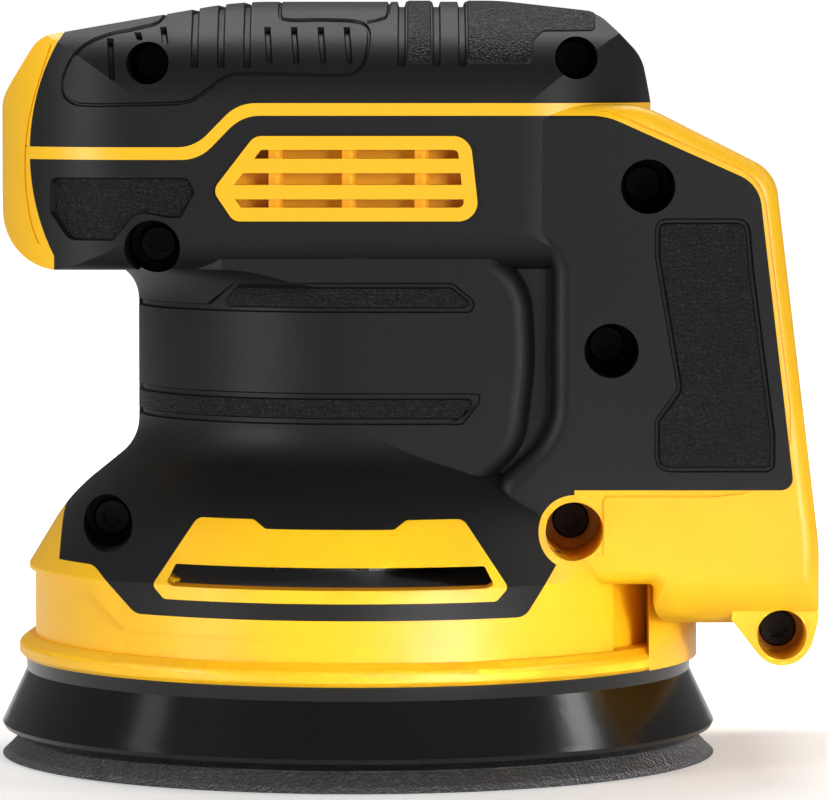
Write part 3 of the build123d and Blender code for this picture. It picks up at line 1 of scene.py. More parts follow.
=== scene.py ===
# %% [markdown]
# # A cordless palm sander, dressed for the studio
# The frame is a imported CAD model: every named node is already at its true size and place, and the
# bodies say what turns and rocks. This lesson keeps that frame still and works on what the eye
# sees: sharper shells with real recesses and grooves, turned rubber, foam, and finishes made of
# nodes. All lengths are in metres, with the sanding face at z = 0 and the nose towards -X.

# %% Load the frame
import math

import bpy
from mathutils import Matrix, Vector, geometry
from mathutils.bvhtree import BVHTree
from mathutils.interpolate import poly_3d_calc


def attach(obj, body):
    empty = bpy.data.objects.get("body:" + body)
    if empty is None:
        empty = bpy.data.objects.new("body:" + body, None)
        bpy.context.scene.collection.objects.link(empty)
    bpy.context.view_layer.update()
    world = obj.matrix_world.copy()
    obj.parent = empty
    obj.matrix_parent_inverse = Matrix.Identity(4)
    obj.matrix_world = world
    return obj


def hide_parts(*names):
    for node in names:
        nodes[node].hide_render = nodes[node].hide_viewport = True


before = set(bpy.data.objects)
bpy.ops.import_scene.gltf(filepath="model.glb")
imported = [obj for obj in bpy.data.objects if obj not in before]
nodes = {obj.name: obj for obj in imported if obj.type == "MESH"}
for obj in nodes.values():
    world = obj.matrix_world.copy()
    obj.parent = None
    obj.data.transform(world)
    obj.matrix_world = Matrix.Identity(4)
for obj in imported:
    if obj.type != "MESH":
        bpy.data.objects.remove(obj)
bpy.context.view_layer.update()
bpy.ops.object.select_all(action="DESELECT")
MM = 0.001

# %% [markdown]
# ## The camera
# The object is seen from its left side by a long lens about a metre away, at the height of the
# palm grip, so its uprights stay almost parallel. A long lens close to level was chosen over an
# orthographic camera because the near flank and the far rim still differ a little in size.

# %% Camera
CAMERA_AWAY = 1.0
CAMERA_HEIGHT = 0.1215
CAMERA_X = 0.0097
LOOK_DOWN = math.radians(3.43)
SENSOR_WIDTH = 36
FOCAL_LENGTH = 249
bpy.ops.object.camera_add(
    location=(CAMERA_X, -CAMERA_AWAY, CAMERA_HEIGHT),
    rotation=(math.radians(90) - LOOK_DOWN, 0, 0))
camera = bpy.context.object
camera.name = "studio_camera"
camera.data.sensor_fit = "HORIZONTAL"
camera.data.sensor_width = SENSOR_WIDTH
camera.data.lens = FOCAL_LENGTH
camera.data.clip_start = 0.05
bpy.context.scene.camera = camera
print("camera at", tuple(camera.location))

# %% [markdown]
# ## Nodes and colours
# Every finish below is built from shader nodes. One helper adds a node, sets it and links it, so
# that a material reads like a parts list. Colours are written as sRGB hex values, which is how a
# paint or plastic sample is read off, and one function turns them to the linear values that the
# shader works in.

# %% Helpers for materials
def linear(hex_colour):
    """An sRGB hex colour as linear red, green, blue and alpha."""
    values = [int(hex_colour[i:i + 2], 16) / 255 for i in (1, 3, 5)]
    return tuple(v / 12.92 if v <= 0.04045 else ((v + 0.055) / 1.055) ** 2.4
                 for v in values) + (1.0,)


def add(tree, kind, settings=None, sockets=None, links=None):
    """Adds a node with its settings and input values, and links other sockets to its inputs."""
    made = tree.nodes.new(kind)
    for key, value in (settings or {}).items():
        setattr(made, key, value)
    for key, value in (sockets or {}).items():
        made.inputs[key].default_value = value
    for key, source in (links or {}).items():
        tree.links.new(source, made.inputs[key])
    return made


def blank(name):
    """A new material with only a Principled BSDF and its output, and the node tree to fill."""
    material = bpy.data.materials.new(name)
    material.use_nodes = True
    tree = material.node_tree
    tree.nodes.clear()
    shader = add(tree, "ShaderNodeBsdfPrincipled")
    add(tree, "ShaderNodeOutputMaterial", links={"Surface": shader.outputs["BSDF"]})
    place = add(tree, "ShaderNodeTexCoord").outputs["Object"]
    return material, tree, shader, place

# %% [markdown]
# ## Mouldings: nylon and rubber
# The shell is glass-filled nylon: tough, slightly satin, with a fine spark-eroded grain from its
# mould that softens every highlight. The grip is a thermoplastic rubber moulded over it, darker
# and more matt, and its panels have a coarse leather grain. All are the same recipe with other
# numbers: a fine noise for the grain's height, a slow noise that varies tone and gloss a little,
# so that no flat area looks printed. The grain is drawn a little coarser than life, or it would
# vanish at this distance.

# %% Moulded plastics and rubbers
def moulded(name, colour, shade, gloss, grain, height, drift=0.02, depth=0.6, shine=0.5):
    """A moulded surface: two near tones, a slow change of gloss, and a grain of a real size."""
    material, tree, shader, place = blank(name)
    slow = add(tree, "ShaderNodeTexNoise", sockets={"Scale": 1 / drift, "Detail": 3.0},
               links={"Vector": place})
    tone = add(tree, "ShaderNodeMix", {"data_type": "RGBA"},
               {6: linear(colour), 7: linear(shade)}, {"Factor": slow.outputs["Fac"]})
    tree.links.new(tone.outputs[2], shader.inputs["Base Color"])
    rough = add(tree, "ShaderNodeMapRange",
                sockets={"To Min": gloss - 0.05, "To Max": gloss + 0.05},
                links={"Value": slow.outputs["Fac"]})
    tree.links.new(rough.outputs["Result"], shader.inputs["Roughness"])
    shader.inputs["Specular IOR Level"].default_value = shine
    fine = add(tree, "ShaderNodeTexNoise", sockets={"Scale": 1 / grain, "Detail": 2.0},
               links={"Vector": place})
    bump = add(tree, "ShaderNodeBump", sockets={"Strength": depth, "Distance": height},
               links={"Height": fine.outputs["Fac"]})
    tree.links.new(bump.outputs["Normal"], shader.inputs["Normal"])
    return material


YELLOW = moulded("moulded_glass_filled_nylon_yellow", "#FFC61A", "#F9BA10", 0.36, 0.00035, 0.00003)
RUBBER = moulded("moulded_tpe_rubber_black", "#111112", "#0D0D0E", 0.5, 0.0005,
                 0.00005, shine=0.28)
BLACK_NYLON = moulded("moulded_glass_filled_nylon_black", "#161618", "#111113", 0.42, 0.0004,
                      0.00004)
SKIRT = moulded("moulded_gloss_rubber_black", "#0B0B0C", "#070708", 0.17, 0.004, 0.00004)
FAN_NYLON = moulded("moulded_nylon_dark_grey", "#34363A", "#2B2D31", 0.4, 0.0004, 0.00003)
SLEEVE = moulded("silicone_wire_sleeve_red", "#B3231C", "#9E1C17", 0.34, 0.0006, 0.00002)
print("moulded finishes ready")

# %% [markdown]
# ## Leather grain
# The textured panels of the grip are not noisy but pebbled: small rounded islands with sharp
# valleys between them, as etched into the mould to look like hide. A Voronoi pattern's distance
# to its cell edges gives just that relief, and the valleys are painted a little darker, as the
# painted shade that falls in them.

# %% Leather-grained rubber
def grained(name, island, valley_shade, gloss, size, height):
    material, tree, shader, place = blank(name)
    warp = add(tree, "ShaderNodeTexNoise", sockets={"Scale": 0.6 / size, "Detail": 2.0},
               links={"Vector": place})
    bent = add(tree, "ShaderNodeVectorMath", {"operation": "MULTIPLY_ADD"},
               {1: (size, size, size)}, {0: warp.outputs["Color"], 2: place})
    cells = add(tree, "ShaderNodeTexVoronoi", {"feature": "DISTANCE_TO_EDGE"},
                {"Scale": 1 / size}, {"Vector": bent.outputs["Vector"]})
    pebble = add(tree, "ShaderNodeMapRange", {"interpolation_type": "SMOOTHSTEP"},
                 {"From Max": 0.35}, {"Value": cells.outputs["Distance"]})
    # painted shade: the colour darkens in the valleys between the pebbles, where the relief is low
    tone = add(tree, "ShaderNodeMix", {"data_type": "RGBA"},
               {6: linear(valley_shade), 7: linear(island)}, {"Factor": pebble.outputs["Result"]})
    tree.links.new(tone.outputs[2], shader.inputs["Base Color"])
    shader.inputs["Roughness"].default_value = gloss
    shader.inputs["Specular IOR Level"].default_value = 0.2
    bump = add(tree, "ShaderNodeBump", sockets={"Strength": 0.9, "Distance": height},
               links={"Height": pebble.outputs["Result"]})
    tree.links.new(bump.outputs["Normal"], shader.inputs["Normal"])
    return material


# 080809 is the painted shade in the valleys; #131314 is the rubber of the pebbles
GRAINED = grained("leather_grained_tpe_rubber", "#131314", "#080809", 0.5, 0.0007, 0.00012)

# %% [markdown]
# ## Metals
# Screws, shafts and bearings are steel, the fan and the motor plate are aluminium. A metal's
# colour lives in its reflection, so the base is its reflected tint and the interest comes from
# the lay that the tool left: fine streaks, made by a noise stretched along one axis, that vary
# gloss and height together. Blackened screws keep the lay but lose most of the reflection.

# %% Metals with a lay
def metal(name, colour, shade, gloss, lay=(4000, 4000, 300), height=0.000015):
    material, tree, shader, place = blank(name)
    stretched = add(tree, "ShaderNodeMapping", sockets={"Scale": lay}, links={"Vector": place})
    streaks = add(tree, "ShaderNodeTexNoise", sockets={"Scale": 1.0, "Detail": 3.0},
                  links={"Vector": stretched.outputs["Vector"]})
    tone = add(tree, "ShaderNodeMix", {"data_type": "RGBA"},
               {6: linear(colour), 7: linear(shade)}, {"Factor": streaks.outputs["Fac"]})
    tree.links.new(tone.outputs[2], shader.inputs["Base Color"])
    rough = add(tree, "ShaderNodeMapRange",
                sockets={"To Min": gloss - 0.08, "To Max": gloss + 0.08},
                links={"Value": streaks.outputs["Fac"]})
    tree.links.new(rough.outputs["Result"], shader.inputs["Roughness"])
    bump = add(tree, "ShaderNodeBump", sockets={"Strength": 0.5, "Distance": height},
               links={"Height": streaks.outputs["Fac"]})
    tree.links.new(bump.outputs["Normal"], shader.inputs["Normal"])
    shader.inputs["Metallic"].default_value = 1.0
    return material


STEEL = metal("ground_steel", "#B9BBBE", "#8E9196", 0.3)
BLACK_STEEL = metal("black_oxide_steel", "#2E2B29", "#1D1B1A", 0.38, (2500, 2500, 2500))
ALUMINIUM = metal("die_cast_aluminium", "#C6C9CC", "#A4A8AD", 0.42, (1500, 1500, 1500), 0.00003)
TINNED = metal("tinned_contact_brass", "#D3C08A", "#B29B63", 0.25, (300, 3000, 3000))
NICKEL = metal("nickel_plated_magnet", "#9DA0A4", "#7E8186", 0.24, (900, 900, 900))
print("metals ready")

# %% [markdown]
# ## Stacked, wound and printed parts
# The motor's core is a stack of thin steel sheets, its coils are enamelled copper wire, and the
# electronics sit on a green board. Each is one pattern across a direction: bands along the axis
# for the sheets, bands round the teeth for the wire, and broken lanes for the board's tracks.
# The sheets are 0.5 mm and the wire 0.6 mm in life, and are drawn at that size.

# %% Banded finishes
def banded(name, colour, gap, gloss, pitch, axis, metallic, height, broken=0.0):
    material, tree, shader, place = blank(name)
    bands = add(tree, "ShaderNodeTexWave", {"wave_type": "BANDS", "bands_direction": axis},
                {"Scale": 0.314 / pitch, "Distortion": broken, "Detail": 1.0,
                 "Detail Scale": 1.5}, {"Vector": place})
    edge = add(tree, "ShaderNodeMapRange", {"interpolation_type": "SMOOTHSTEP"},
               {"From Min": 0.15, "From Max": 0.5}, {"Value": bands.outputs["Fac"]})
    tone = add(tree, "ShaderNodeMix", {"data_type": "RGBA"},
               {6: linear(gap), 7: linear(colour)}, {"Factor": edge.outputs["Result"]})
    tree.links.new(tone.outputs[2], shader.inputs["Base Color"])
    shader.inputs["Roughness"].default_value = gloss
    shader.inputs["Metallic"].default_value = metallic
    bump = add(tree, "ShaderNodeBump", sockets={"Strength": 0.7, "Distance": height},
               links={"Height": edge.outputs["Result"]})
    tree.links.new(bump.outputs["Normal"], shader.inputs["Normal"])
    return material


SHEETS = banded("laminated_electrical_steel", "#7C7F84", "#2A2B2E", 0.4, 0.0005, "Z", 0.9, 0.00005)
COPPER = banded("enamelled_copper_winding", "#B8642B", "#4A2210", 0.3, 0.0006, "Z", 0.8, 0.0001)
BOARD = banded("green_solder_mask_board", "#1F6A3B", "#174F2D", 0.35, 0.0012, "X", 0.0, 0.00002,
               3.0)

# %% [markdown]
# ## Foam and hook cloth
# The cushion under the skirt is open-cell foam and its face is a carpet of nylon hooks. Foam is
# a matt mass of tiny torn cells with pale struts, and each cell is darkened as painted shade; hook
# cloth is a field of bristles, rounder and glossier, with the same painted shade between them. Both
# take their speckle and their relief from cells of the size of the real ones, and a soft sheen for
# the light caught in their fibres.

# %% Foam and hooks
def fuzzy(name, strut, pit_shade, gloss, cell, height, sheen):
    material, tree, shader, place = blank(name)
    cells = add(tree, "ShaderNodeTexVoronoi", {"feature": "F1"}, {"Scale": 1 / cell},
                {"Vector": place})
    torn = add(tree, "ShaderNodeTexNoise", sockets={"Scale": 0.35 / cell, "Detail": 4.0,
                                                    "Roughness": 0.7}, links={"Vector": place})
    mass = add(tree, "ShaderNodeMath", {"operation": "MULTIPLY"}, links={
        0: cells.outputs["Distance"], 1: torn.outputs["Fac"]})
    edge = add(tree, "ShaderNodeMapRange", sockets={"From Min": 0.1, "From Max": 0.55},
               links={"Value": mass.outputs["Value"]})
    # painted shade: the colour darkens in each cell, where the relief is low
    tone = add(tree, "ShaderNodeMix", {"data_type": "RGBA"},
               {6: linear(pit_shade), 7: linear(strut)}, {"Factor": edge.outputs["Result"]})
    tree.links.new(tone.outputs[2], shader.inputs["Base Color"])
    shader.inputs["Roughness"].default_value = gloss
    shader.inputs["Sheen Weight"].default_value = sheen
    bump = add(tree, "ShaderNodeBump", sockets={"Strength": 1.0, "Distance": height},
               links={"Height": edge.outputs["Result"]})
    tree.links.new(bump.outputs["Normal"], shader.inputs["Normal"])
    return material


# 0A0A0A and #070707 are the painted shade in the cells; #3A3632 and #2E2C2A are struts and bristles
FOAM = fuzzy("open_cell_pu_foam_black", "#3A3632", "#0A0A0A", 0.92, 0.0006, 0.0003, 0.25)
HOOK = fuzzy("nylon_hook_cloth_black", "#2E2C2A", "#070707", 0.7, 0.0005, 0.0004, 0.35)
print("foam and hooks ready")

# %% [markdown]
# ## Dress the CAD nodes
# Each CAD node carries a slot named for its stuff. A table from slot to finish dresses them all
# at once, and whatever a later cell models more finely takes that node's place.

# %% Finish for every slot
FINISHES = {
    "yellow_nylon": YELLOW, "black_rubber": RUBBER, "skirt_rubber": SKIRT,
    "black_nylon": BLACK_NYLON, "fan_nylon": FAN_NYLON, "foam": FOAM, "hook": HOOK,
    "steel": STEEL, "black_steel": BLACK_STEEL, "aluminium": ALUMINIUM,
    "laminated_steel": SHEETS, "copper": COPPER, "board": BOARD, "wire_red": SLEEVE,
    "contact": TINNED, "magnet": NICKEL}
for node in nodes.values():
    for slot in node.material_slots:
        slot.material = FINISHES[slot.material.name]
print("dressed", len(nodes), "nodes with", len(FINISHES), "finishes")

# %% [markdown]
# ## Working on the shells
# The moulded shells come from the CAD nodes, whose meshes are loose triangles. A shell is copied
# and its doubled points merged; the node itself is never touched. A recess or a groove is then
# made the way a toolmaker thinks of it: its outline is drawn in side view, pressed through the
# shell as a thin wall that cuts the faces, and the faces inside the outline are pushed in or
# pulled out along their normals. That keeps the shell's own curvature inside the recess, which a
# boxed boolean cutter would flatten.

# %% Helpers for shells
def deselect():
    """Nothing selected and nothing active in edit mode, so that an operator meets no leftovers."""
    if bpy.context.object and bpy.context.object.mode != "OBJECT":
        bpy.ops.object.mode_set(mode="OBJECT")
    bpy.ops.object.select_all(action="DESELECT")


def pick(piece):
    """Makes one object the only selected and the active one."""
    deselect()
    piece.select_set(True)
    bpy.context.view_layer.objects.active = piece
    return piece


def shell_from(node, name):
    """A merged copy of a CAD node's mesh, as a piece that takes the node's place."""
    piece = bpy.data.objects.new(name, nodes[node].data.copy())
    bpy.context.scene.collection.objects.link(piece)
    pick(piece)
    bpy.ops.object.mode_set(mode="EDIT")
    bpy.ops.mesh.select_all(action="SELECT")
    bpy.ops.mesh.remove_doubles(threshold=2e-6)
    bpy.ops.mesh.tris_convert_to_quads(face_threshold=0.002, shape_threshold=0.7)
    bpy.ops.object.mode_set(mode="OBJECT")
    piece.data.materials.clear()
    return piece


def arc_corners(points, radius, steps=5):
    """An outline's corners rounded off with a radius each, as points."""
    radii = radius if isinstance(radius, (list, tuple)) else [radius] * len(points)
    out = []
    for i, (x, z) in enumerate(points):
        here = Vector((x, z))
        back = Vector(points[i - 1]) - here
        on = Vector(points[(i + 1) % len(points)]) - here
        half = back.angle(on) / 2
        cut = min(radii[i] / math.tan(half), back.length * 0.49, on.length * 0.49)
        if cut < 1e-4:
            out.append((x, z))
            continue
        start, end = here + back.normalized() * cut, here + on.normalized() * cut
        for k in range(steps + 1):
            t = k / steps
            out.append(tuple(start * (1 - t) ** 2 + here * 2 * t * (1 - t) + end * t * t))
    return out


def inside(outline, x, z):
    """True where a side-view place lies inside an outline."""
    crossings = 0
    for i, (x1, z1) in enumerate(outline):
        x2, z2 = outline[i - 1]
        if (z1 > z) != (z2 > z) and x < (x2 - x1) * (z - z1) / (z2 - z1) + x1:
            crossings += 1
    return crossings % 2 == 1


def wall_through(outline, y_from, y_to):
    """A thin wall along a closed side-view outline, between two depths, to cut a shell with."""
    deselect()
    bpy.ops.mesh.primitive_circle_add(vertices=len(outline), radius=0.01)
    wall = bpy.context.object
    for vertex, (x, z) in zip(wall.data.vertices, outline):
        vertex.co = (x, y_from, z)
    bpy.ops.object.mode_set(mode="EDIT")
    bpy.ops.mesh.select_mode(type="VERT")
    bpy.ops.mesh.select_all(action="SELECT")
    bpy.ops.mesh.extrude_region_move(TRANSFORM_OT_translate={"value": (0, y_to - y_from, 0)})
    bpy.ops.object.mode_set(mode="OBJECT")
    mark(wall, True)
    return wall


def mark(piece, value):
    """Notes on every face whether it belongs to a cutting wall."""
    flags = piece.data.attributes.get("cutting") or piece.data.attributes.new(
        "cutting", "BOOLEAN", "FACE")
    for flag in flags.data:
        flag.value = value


def score(piece, outlines, y_from, y_to):
    """Cuts the shell's faces along outlines, without moving anything."""
    walls = [wall_through(outline, y_from, y_to) for outline in outlines]
    mark(piece, False)
    pick(piece)
    for wall in walls:
        wall.select_set(True)
    bpy.ops.object.join()
    print("   walls", choose(piece, lambda polygon, index: flags_of(piece)[index].value))
    bpy.ops.object.mode_set(mode="EDIT")
    bpy.ops.mesh.select_mode(type="FACE")
    bpy.ops.mesh.intersect(mode="SELECT_UNSELECT", separate_mode="NONE", solver="EXACT")
    bpy.ops.mesh.select_all(action="DESELECT")
    bpy.ops.object.mode_set(mode="OBJECT")
    choose(piece, lambda polygon, index: flags_of(piece)[index].value)
    bpy.ops.object.mode_set(mode="EDIT")
    bpy.ops.mesh.delete(type="FACE")
    bpy.ops.mesh.select_all(action="SELECT")
    bpy.ops.mesh.quads_convert_to_tris(quad_method="BEAUTY", ngon_method="BEAUTY")
    bpy.ops.object.mode_set(mode="OBJECT")


def flags_of(piece):
    return piece.data.attributes["cutting"].data


def choose(piece, test):
    """Selects the faces that pass a test, in object mode, and says how many there are."""
    mesh = piece.data
    for vertex in mesh.vertices:
        vertex.select = False
    for edge in mesh.edges:
        edge.select = False
    count = 0
    for index, polygon in enumerate(mesh.polygons):
        polygon.select = bool(test(polygon, index))
        count += polygon.select
    return count


def outward(polygon):
    """True for a face on the head's outside, whichever way it looks."""
    centre = polygon.center
    return polygon.normal.dot(Vector((0, centre.y, centre.z - 0.100))) > 0


def flank(side):
    """A test for faces on the outside of one flank."""
    return lambda polygon: polygon.normal.y * side > 0.12 and polygon.center.y * side > 0


def press(piece, outline, depth, test, finish=None, slope=0.00025):
    """Pushes the tested faces inside an outline in by a depth, with sloping walls round them."""
    pick(piece)
    count = choose(piece, lambda polygon, index: test(polygon)
                   and inside(outline, polygon.center.x, polygon.center.z))
    bpy.ops.object.mode_set(mode="EDIT")
    bpy.ops.mesh.select_mode(type="FACE")
    if depth and count:
        bpy.ops.mesh.inset(thickness=slope, depth=-depth, use_even_offset=True)
    bpy.ops.object.mode_set(mode="OBJECT")
    if finish is not None:
        for polygon in piece.data.polygons:
            if polygon.select:
                polygon.material_index = finish
    return count


def paint(piece, outline, test, finish):
    """Gives the tested faces inside an outline another finish, at their own level."""
    for polygon in piece.data.polygons:
        if test(polygon) and inside(outline, polygon.center.x, polygon.center.z):
            polygon.material_index = finish


def flowing(points, steps=4):
    """A smooth curve through points, from the first to the last."""
    spots = [Vector(p) for p in [points[0]] + list(points) + [points[-1]]]
    out = []
    for a, b, c, d in zip(spots, spots[1:], spots[2:], spots[3:]):
        for k in range(steps):
            t = k / steps
            out.append(tuple(0.5 * (2 * b + (c - a) * t + (2 * a - 5 * b + 4 * c - d) * t * t
                                    + (3 * b - a - 3 * c + d) * t ** 3)))
    return out + [tuple(points[-1])]


def stroke(points, width):
    """The outline of a line of some width drawn along points."""
    left, right = [], []
    for i, point in enumerate(points):
        here = Vector(point)
        back = Vector(points[max(i - 1, 0)])
        on = Vector(points[min(i + 1, len(points) - 1)])
        across = (on - back).normalized().orthogonal() * width / 2
        left.append(tuple(here + across))
        right.append(tuple(here - across))
    return left + right[::-1]


def shrunk(outline, gap):
    """A closed outline moved inwards by a gap, with its corners kept."""
    area = sum(outline[i - 1][0] * p[1] - p[0] * outline[i - 1][1]
               for i, p in enumerate(outline))
    turn = 1 if area > 0 else -1
    out = []
    for i, point in enumerate(outline):
        here, back = Vector(point), Vector(outline[i - 1])
        on = Vector(outline[(i + 1) % len(outline)])
        a, b = (here - back).normalized(), (on - here).normalized()
        normal = (Vector((-a.y, a.x)) + Vector((-b.y, b.x))) * turn
        scale = gap * 2 / max(normal.length_squared, 0.8)
        out.append(tuple(here + normal * scale))
    return out


def mm(points):
    """Side-view places written in millimetres, in metres."""
    return [(x * MM, z * MM) for x, z in points]


def finish_shell(piece, materials, node, body="housing"):
    """Gives a shell its materials, its true normals and its place in the frame."""
    for material in materials:
        piece.data.materials.append(material)
    if "cutting" in piece.data.attributes:
        piece.data.attributes.remove(piece.data.attributes["cutting"])
    true_normals(piece, node)
    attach(piece, body)
    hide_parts(node)
    print(piece.name, len(piece.data.polygons), "faces")

# %% [markdown]
# A cut-up shell is made of long thin faces, and averaged normals would smear its shading. The
# smooth CAD surface under it still knows the true direction at every place, so each corner of
# the shell looks up the nearest CAD face and takes its direction. A groove's own walls find no
# face that agrees with them and stay flat, which keeps their edges crisp.

# %% Helper for true normals
NEAR_SURFACE = 0.0012
SAME_WAY = 0.85
INTO_FACE = 0.03


def true_normals(piece, node):
    """Gives a shell's corners the directions of the smooth CAD surface that they lie on."""
    source, mesh = nodes[node].data, piece.data
    spots = [v.co for v in source.vertices]
    tree = BVHTree.FromPolygons(spots, [tuple(p.vertices) for p in source.polygons])
    smooth = source.corner_normals
    normals = []
    for polygon in mesh.polygons:
        polygon.use_smooth = True
        flat = polygon.normal.copy()
        for loop in polygon.loop_indices:
            corner = mesh.vertices[mesh.loops[loop].vertex_index].co
            near = corner.lerp(polygon.center, INTO_FACE)
            found = [(gap, index) for _, facing, index, gap
                     in tree.find_nearest_range(near, NEAR_SURFACE)
                     if facing.dot(flat) > SAME_WAY]
            if not found:
                normals.append(flat)
                continue
            face = source.polygons[min(found)[1]]
            ring = [spots[v] for v in face.vertices]
            weights = poly_3d_calc(ring, geometry.closest_point_on_tri(corner, *ring[:3]))
            normal = sum((smooth[i].vector * weight
                          for i, weight in zip(face.loop_indices, weights)), Vector((0, 0, 0)))
            normals.append(normal.normalized())
    mesh.normals_split_custom_set(normals)

# %% [markdown]
# ## The rubber skin of neck, head and rear block
# On the real tool the grip rubber is moulded over the nylon, and its looks come from shallow
# relief: a leather-grained recess beside the front screw, two grained bands round the neck set
# in channels, and a grained panel on the block. Every outline is drawn once in side view and
# pressed into the left and the right skin alike.

# %% Outlines of the rubber's relief
NOSE_RECESS = arc_corners(mm([
    (-51.7, 101.3), (-28.2, 101.3), (-26.9, 99.0), (-29.3, 94.5), (-32.0, 94.6), (-36.6, 95.6),
    (-40.7, 90.7), (-48.4, 90.7), (-51.7, 95.4)]),
    [0.0016, 0.0016, 0.001, 0.001, 0.001, 0.003, 0.001, 0.0025, 0.0014])
UPPER_CHANNEL = arc_corners(mm([
    (-60, 79.7), (-25.4, 79.7), (-20.6, 83.6), (16.4, 83.6), (20.2, 80.4),
    (19.6, 78.5), (-60, 78.5)]), [0, 0.001, 0.001, 0.001, 0.0012, 0.0012, 0])
UPPER_BAND = arc_corners(mm([(-22.8, 80.0), (-20.0, 82.6), (16.0, 82.6), (19.0, 80.2),
                             (18.2, 79.5), (-22.0, 79.5)]), 0.0004)
LOWER_CHANNEL = arc_corners(mm([
    (-60, 65.0), (21.0, 65.0), (21.0, 63.4), (18.0, 59.6), (-60, 59.6)]),
    [0, 0.0008, 0.001, 0.001, 0])
LOWER_BAND = arc_corners(mm([(-60, 63.8), (19.8, 63.8), (17.5, 60.8), (-60, 60.8)]),
                         [0, 0.0006, 0.0006, 0])
BLOCK_RECESS = arc_corners(mm([
    (50.2, 94.5), (66.2, 94.5), (66.9, 86.0), (70.6, 58.0), (70.6, 51.7), (50.2, 51.7),
    (50.2, 60.6), (54.0, 65.8), (50.2, 88.0)]),
    [0.0022, 0.0026, 0.003, 0.003, 0.0018, 0.003, 0.0015, 0.0018, 0.002])
BLOCK_PANEL = shrunk(BLOCK_RECESS, 0.0010)
CHANNEL_DEPTH = 0.0007
RECESS_DEPTH = 0.0011
print("relief outlines drawn")


def round_neck(polygon):
    """True for a face on the outside of the neck, seen from the motor's axis."""
    spot = Vector((polygon.center.x, polygon.center.y, 0))
    return polygon.normal.dot(spot) > 0.4 * spot.length and spot.length > 0.037


def round_band(band, test):
    """A test for faces that pass the given one and lie outside a band's outline."""
    return lambda polygon: test(polygon) and not inside(
        band, polygon.center.x, polygon.center.z)


# %% Press the relief into both skins
for side, name in ((-1, "left"), (1, "right")):
    skin = shell_from(f"overmold_{name}", f"rubber_skin_{name}")
    score(skin, [NOSE_RECESS, BLOCK_RECESS], side * 0.100, side * 0.012)
    score(skin, [UPPER_CHANNEL, LOWER_CHANNEL], side * 0.100, side * 0.0006)
    score(skin, [BLOCK_PANEL], side * 0.100, side * 0.012)
    score(skin, [UPPER_BAND, LOWER_BAND], side * 0.100, side * 0.0006)
    at = flank(side)
    pressed = [press(skin, NOSE_RECESS, RECESS_DEPTH, at, 1),
               press(skin, UPPER_CHANNEL, CHANNEL_DEPTH, round_band(UPPER_BAND, round_neck)),
               press(skin, LOWER_CHANNEL, CHANNEL_DEPTH, round_band(LOWER_BAND, round_neck)),
               press(skin, BLOCK_RECESS, CHANNEL_DEPTH, round_band(BLOCK_PANEL, at))]
    for band, test in ((UPPER_BAND, round_neck), (LOWER_BAND, round_neck), (BLOCK_PANEL, at)):
        paint(skin, band, test, 1)
    print("pressed faces", pressed)
    finish_shell(skin, [RUBBER, GRAINED], f"overmold_{name}")

# %% [markdown]
# ## The palm grip
# The cap over the palm is ribbed so that a damp hand holds it: grooves run right over the crown,
# short slots stop on each flank, and two fields carry the leather grain. As the grooves pass
# over the top, their outlines are pressed through both flanks and the crown at once.

# %% Grooves, slots and grained fields of the palm grip
GRIP_TOP = 0.140
GROOVE_DEPTH = 0.0009


def upright(x, width, low, high=GRIP_TOP / MM, lean=0.6):
    """The outline of an upright groove, in millimetres, leaning back a little towards its foot."""
    half = width / 2
    return arc_corners(mm([
        (x - half, high), (x + half, high), (x + half + lean, low), (x - half + lean, low)]),
        [0, 0, 0.0005, 0.0005])


GROOVES = ([upright(x, 1.3, 119.6) for x in (-27.6, -23.2, -18.8)]
           + [upright(x, 1.4, 119.9, lean=0.0) for x in (7.7, 13.6, 17.9)])
SLOTS = ([upright(x, 1.1, low, high) for x, low, high in (
            (-41.4, 117.6, 124.7), (-36.9, 124.3, 125.7), (-32.6, 123.6, 126.6))]
         + [upright(x, 1.1, 120.4, 126.6) for x in (-15.0, -10.5, -6.0, -1.6)])
GRAIN_FIELDS = [mm([(8.6, 120.3), (12.7, 120.3), (12.7, 150), (8.6, 150)]),
                arc_corners(mm([(18.8, 120.3), (29.6, 120.3), (29.9, 124.2), (31.6, 125.8),
                                (40.5, 125.9), (40.5, 150), (18.8, 150)]),
                            [0.001, 0.001, 0.001, 0.001, 0.001, 0, 0])]
PANEL_EDGE = stroke(flowing(mm([
    (-32.2, 135.0), (-32.6, 128.2), (-36.9, 126.4), (-41.4, 125.4), (-45.0, 123.9),
    (-47.4, 121.7), (-49.1, 118.5), (-49.4, 116.0), (-48.2, 114.2), (-45.5, 113.5),
    (-37.0, 113.6), (-29.0, 113.9), (-26.0, 115.2), (-22.9, 117.5), (-19.7, 118.7),
    (-11.0, 118.6), (-2.2, 118.4), (0.2, 119.2), (1.6, 121.2), (2.2, 125.0), (1.5, 126.9),
    (-0.7, 127.6), (-6.0, 127.8), (-11.6, 127.8), (-13.0, 129.0), (-12.8, 135.0)])), 0.0007)
CROWN_PLATE = stroke(flowing(mm([(1.8, 127.4), (4.0, 127.9), (5.4, 129.0), (5.6, 135.0)])),
                     0.0006)

grip = shell_from("top_grip", "palm_grip")
for cuts in (GROOVES + SLOTS[3:], SLOTS[:3] + GRAIN_FIELDS, [PANEL_EDGE], [CROWN_PLATE]):
    score(grip, cuts, -0.100, 0.100)
for outline in GROOVES + SLOTS:
    press(grip, outline, GROOVE_DEPTH, outward)
press(grip, PANEL_EDGE, 0.5 * GROOVE_DEPTH, outward)
press(grip, CROWN_PLATE, 0.5 * GROOVE_DEPTH, outward)
for outline in GRAIN_FIELDS:
    press(grip, outline, -0.0002, outward, 1)
finish_shell(grip, [RUBBER, GRAINED], "top_grip")

